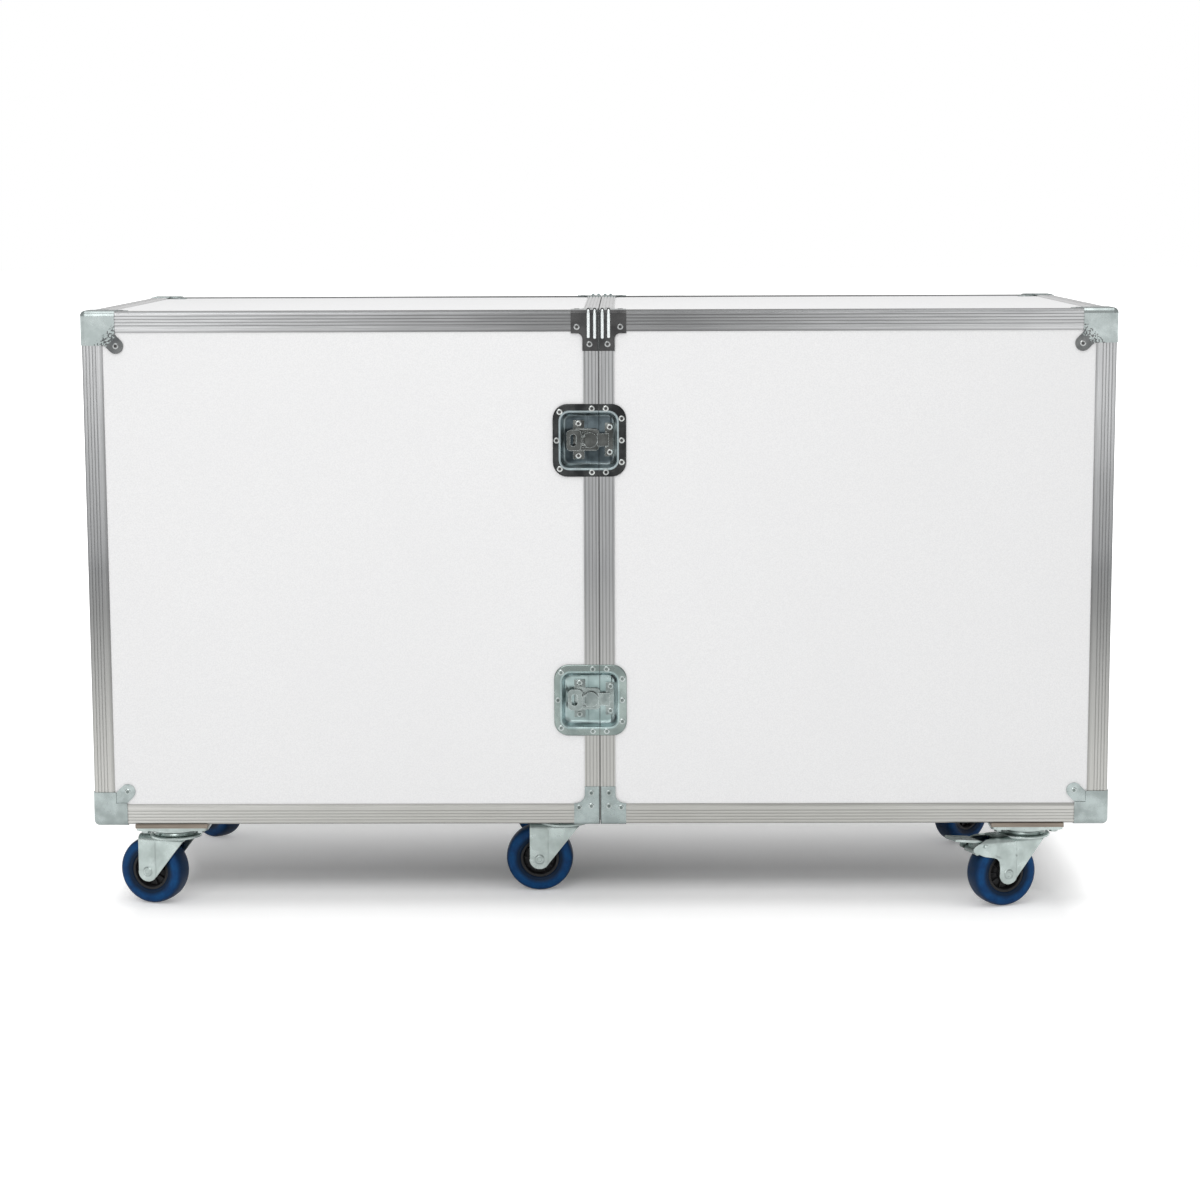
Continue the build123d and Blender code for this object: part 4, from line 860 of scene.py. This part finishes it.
def rivet_hole_shades(side):
    """A dark disc in the hole of each hollow rivet of one half: painted shade that stands for the dark of
    the hole.
    """
    centre = Vector((0, MIDDLE_Y * MM, MIDDLE_Z * MM))
    eyes = []
    for low, high in islands(f"{side}_rivets_and_bolts"):
        size, middle = high - low, (low + high) / 2
        axis = min(range(3), key=lambda index: size[index])
        if size[axis] > RIVET_HEAD:
            continue
        outward = 1 if (middle - centre)[axis] > 0 else -1
        middle[axis] += outward * (EYE_LIFT - size[axis] / 2)
        eye = bmesh.new()
        bmesh.ops.create_cone(eye, cap_ends=True, segments=20, radius1=EYE_RADIUS, radius2=EYE_RADIUS,
                              depth=EYE_THICKNESS)
        turn = axis_vector(2).rotation_difference(axis_vector(axis))
        eyes.append((eye, Matrix.Translation(middle) @ turn.to_matrix().to_4x4()))
    new_piece(f"{side}_rivet_hole_shades", join(*eyes), f"{side}_half", [RIVET_HOLE_SHADE])


def hollow(mesh, plane, axis, inward, window):
    """Presses a rectangular hollow into the outer face of a pad."""
    sides = list(zip([index for index in range(3) if index != axis], window))
    for lip in (0.0, HOLLOW_LIP):
        for index, (low, high) in sides:
            for at in (low + lip, high - lip):
                cut(mesh, axis_vector(index) * at, axis_vector(index))
    inset = HOLLOW_LIP - 0.01
    for vert in mesh.verts:
        inside = all(low + inset < vert.co[index] < high - inset for index, (low, high) in sides)
        if inside and abs(vert.co[axis] - plane) < 0.01:
            vert.co[axis] += inward * HOLLOW_DEPTH


def pad(low, high, axis, inward):
    """One foam pad: soft edges, its inner face slightly crowned."""
    mesh = bmesh.new()
    bmesh.ops.create_cube(mesh, size=2.0)
    bmesh.ops.subdivide_edges(mesh, edges=mesh.edges[:], cuts=15, use_grid_fill=True)
    others = [index for index in range(3) if index != axis]
    for vert in mesh.verts:
        a, b = vert.co[others[0]], vert.co[others[1]]
        depth = (vert.co[axis] * inward + 1) / 2
        vert.co[axis] -= inward * depth * (0.35 * max(abs(a), abs(b)) ** 24 + 0.1 * (a * a + b * b) / 2)
    place = Matrix.Translation((low + high) / 2) @ Matrix.Diagonal((*((high - low) / 2), 1))
    bmesh.ops.transform(mesh, matrix=place, verts=mesh.verts)
    return mesh


def foam_pads(side):
    """The five pads that line one half."""
    sign = -1 if side == "left" else 1
    front, back, base, top, end = (length * MM for length in (FRONT, BACK, BASE, TOP, HALF_LENGTH))
    deep = FOAM_BACK + FOAM_THICK
    wall = end - deep - FOAM_GAP
    across = (front + FOAM_END, back - FOAM_END)
    upright = (base + deep + FOAM_GAP, top - deep - FOAM_GAP)
    lying, standing = (FOAM_NEAR, end - FOAM_END), (FOAM_NEAR, wall)
    # Each pad: its spans along X, Y and Z, the axis that it faces and the way inwards
    spans = {"base": (lying, across, (base + FOAM_BACK, base + deep), 2, 1),
             "top": (lying, across, (top - deep, top - FOAM_BACK), 2, -1),
             "end": ((end - deep, end - FOAM_BACK), across, upright, 0, -sign),
             "front": (standing, (front + FOAM_BACK, front + deep), upright, 1, 1),
             "back": (standing, (back - deep, back - FOAM_BACK), upright, 1, -1)}
    pads = []
    for place, (x_span, y_span, z_span, axis, inward) in spans.items():
        x0, x1 = sorted(sign * x for x in x_span)
        made = pad(Vector((x0, y_span[0], z_span[0])), Vector((x1, y_span[1], z_span[1])), axis, inward)
        if place == "end":
            half_wide, half_high = HANDLE_HOLLOW
            hollow(made, sign * (end - FOAM_BACK), axis, inward,
                   ((MIDDLE_Y * MM - half_wide, MIDDLE_Y * MM + half_wide),
                    (HANDLE_HEIGHT - half_high, HANDLE_HEIGHT + half_high)))
        if place == "front":
            from_x, to_x, half_high = LATCH_HOLLOW
            for height in LATCH_HEIGHTS.values():
                hollow(made, front + FOAM_BACK, axis, inward,
                       ((from_x, to_x), (height - half_high, height + half_high)))
        pads.append((made, Matrix()))
    lining = new_piece(f"{side}_foam_pads", join(*pads), f"{side}_half", [FOAM],
                       [f"{side}_foam_lining"], 40.0)


for side in ("left", "right"):
    rivet_hole_shades(side)
    foam_pads(side)


# Floor, light and camera

FLOOR_HALF = 40.0
FLOOR_GREY = (0.86, 0.86, 0.86, 1)
SHADOW_GLOW = 0.02
# Where the glow that paints the shadow rises: along Y ahead of its core and behind it, along X, and away
# from the case
FADE_AHEAD, FADE_BEHIND, FADE_END, FADE_FAR = (-0.215, -0.12), (-0.06, 0.20), (0.62, 0.74), (0.3, 3.0)
SKY_STRENGTH = 0.62
# The photograph: its width and focal length in pixels, and the camera's place and angles
PHOTO_WIDTH, FOCAL_LENGTH, SENSOR_WIDTH = 1200, 2793.9, 36.0
PITCH, YAW, ROLL = radians(8.064), radians(-0.520), radians(-0.208)
CAMERA_PLACE = (0.037, MIDDLE_Y - 4.305, 1.022)


def stage_floor():
    """A pale floor that the camera sees as white, with the lit shadow of the case on it and a painted
    shadow: the glow, seen by the camera and in reflections, is held low under the case and rises around
    it.
    """
    mesh = bmesh.new()
    bmesh.ops.create_grid(mesh, x_segments=1, y_segments=1, size=FLOOR_HALF)
    data = bpy.data.meshes.new("floor")
    mesh.to_mesh(data)
    mesh.free()
    floor = bpy.data.objects.new("floor", data)
    bpy.context.scene.collection.objects.link(floor)
    make = Finish("floor_white")
    tree = make.tree
    tree.nodes.remove(make.surface)
    matt = make.node("ShaderNodeBsdfDiffuse")
    matt.inputs["Color"].default_value = FLOOR_GREY
    glow = make.node("ShaderNodeEmission")
    glow.inputs["Color"].default_value = (1, 1, 1, 1)
    rays = make.node("ShaderNodeLightPath")
    seen = make.either(rays.outputs["Is Camera Ray"], rays.outputs["Is Glossy Ray"])
    seen = make.either(seen, rays.outputs["Is Transmission Ray"])
    x, y, _ = make.axes()
    along, across = make.size_of(x), make.size_of(y)
    beyond = make.either(make.minus(along, HALF_LENGTH), make.minus(across, HALF_DEPTH))
    # Painted shadow: the glow is lowest under the case and rises ahead of it, behind it and past its ends
    ahead = make.span(y, *FADE_AHEAD, 0.25, SHADOW_GLOW)
    behind = make.span(y, *FADE_BEHIND, SHADOW_GLOW, 0.34)
    past_end = make.span(along, *FADE_END, SHADOW_GLOW, 0.55)
    near = make.either(make.either(ahead, behind), past_end)
    far = make.span(beyond, *FADE_FAR, 0.0, 0.7)
    make.feed(glow.inputs["Strength"], make.times(seen, make.maths("ADD", near, far)))
    shader = make.node("ShaderNodeAddShader")
    make.feed(shader.inputs[0], matt.outputs[0])
    make.feed(shader.inputs[1], glow.outputs[0])
    make.feed(tree.nodes["Material Output"].inputs["Surface"], shader.outputs[0])
    data.materials.append(make.material)


def sky():
    """Even soft light from all round, seen as white."""
    world = bpy.data.worlds.new("studio")
    bpy.context.scene.world = world
    world.use_nodes = True
    tree = world.node_tree
    lit = tree.nodes["Background"]
    lit.inputs["Color"].default_value = (1, 1, 1, 1)
    rays = tree.nodes.new("ShaderNodeLightPath")
    strength = tree.nodes.new("ShaderNodeMapRange")
    tree.links.new(rays.outputs["Is Camera Ray"], strength.inputs["Value"])
    strength.inputs["To Min"].default_value = SKY_STRENGTH
    strength.inputs["To Max"].default_value = 1.0
    tree.links.new(strength.outputs[0], lit.inputs["Strength"])


def soft_lamp(name, place, aim, size, power):
    """A square soft lamp that points at a place."""
    lamp = bpy.data.lights.new(name, "AREA")
    lamp.size = size
    lamp.energy = power
    holder = bpy.data.objects.new(name, lamp)
    holder.location = place
    holder.rotation_euler = (Vector(aim) - Vector(place)).to_track_quat("-Z", "Y").to_euler()
    bpy.context.scene.collection.objects.link(holder)


def aim_camera():
    """The camera of the photograph, solved from the corners of the case."""
    ahead = Vector((sin(YAW) * cos(PITCH), cos(YAW) * cos(PITCH), -sin(PITCH)))
    right = Vector((cos(YAW), -sin(YAW), 0))
    up = right.cross(ahead)
    turned_right = cos(ROLL) * right + sin(ROLL) * up
    turned_up = -sin(ROLL) * right + cos(ROLL) * up
    camera = bpy.data.cameras.new("camera")
    camera.sensor_width = SENSOR_WIDTH
    camera.lens = FOCAL_LENGTH / PHOTO_WIDTH * SENSOR_WIDTH
    camera.clip_end = 200.0
    holder = bpy.data.objects.new("camera", camera)
    turn = Matrix((turned_right, turned_up, -ahead)).transposed()
    holder.matrix_world = Matrix.Translation(CAMERA_PLACE) @ turn.to_4x4()
    bpy.context.scene.collection.objects.link(holder)
    bpy.context.scene.camera = holder


stage_floor()
sky()
soft_lamp("top_light", place=(0.0, -0.6, 3.6), aim=(0, 0, 0.4), size=3.0, power=52.0)
soft_lamp("front_light", place=(-0.9, -4.0, 2.6), aim=(0, 0, 0.45), size=2.4, power=49.0)
aim_camera()
bpy.context.scene.view_settings.view_transform = "Standard"
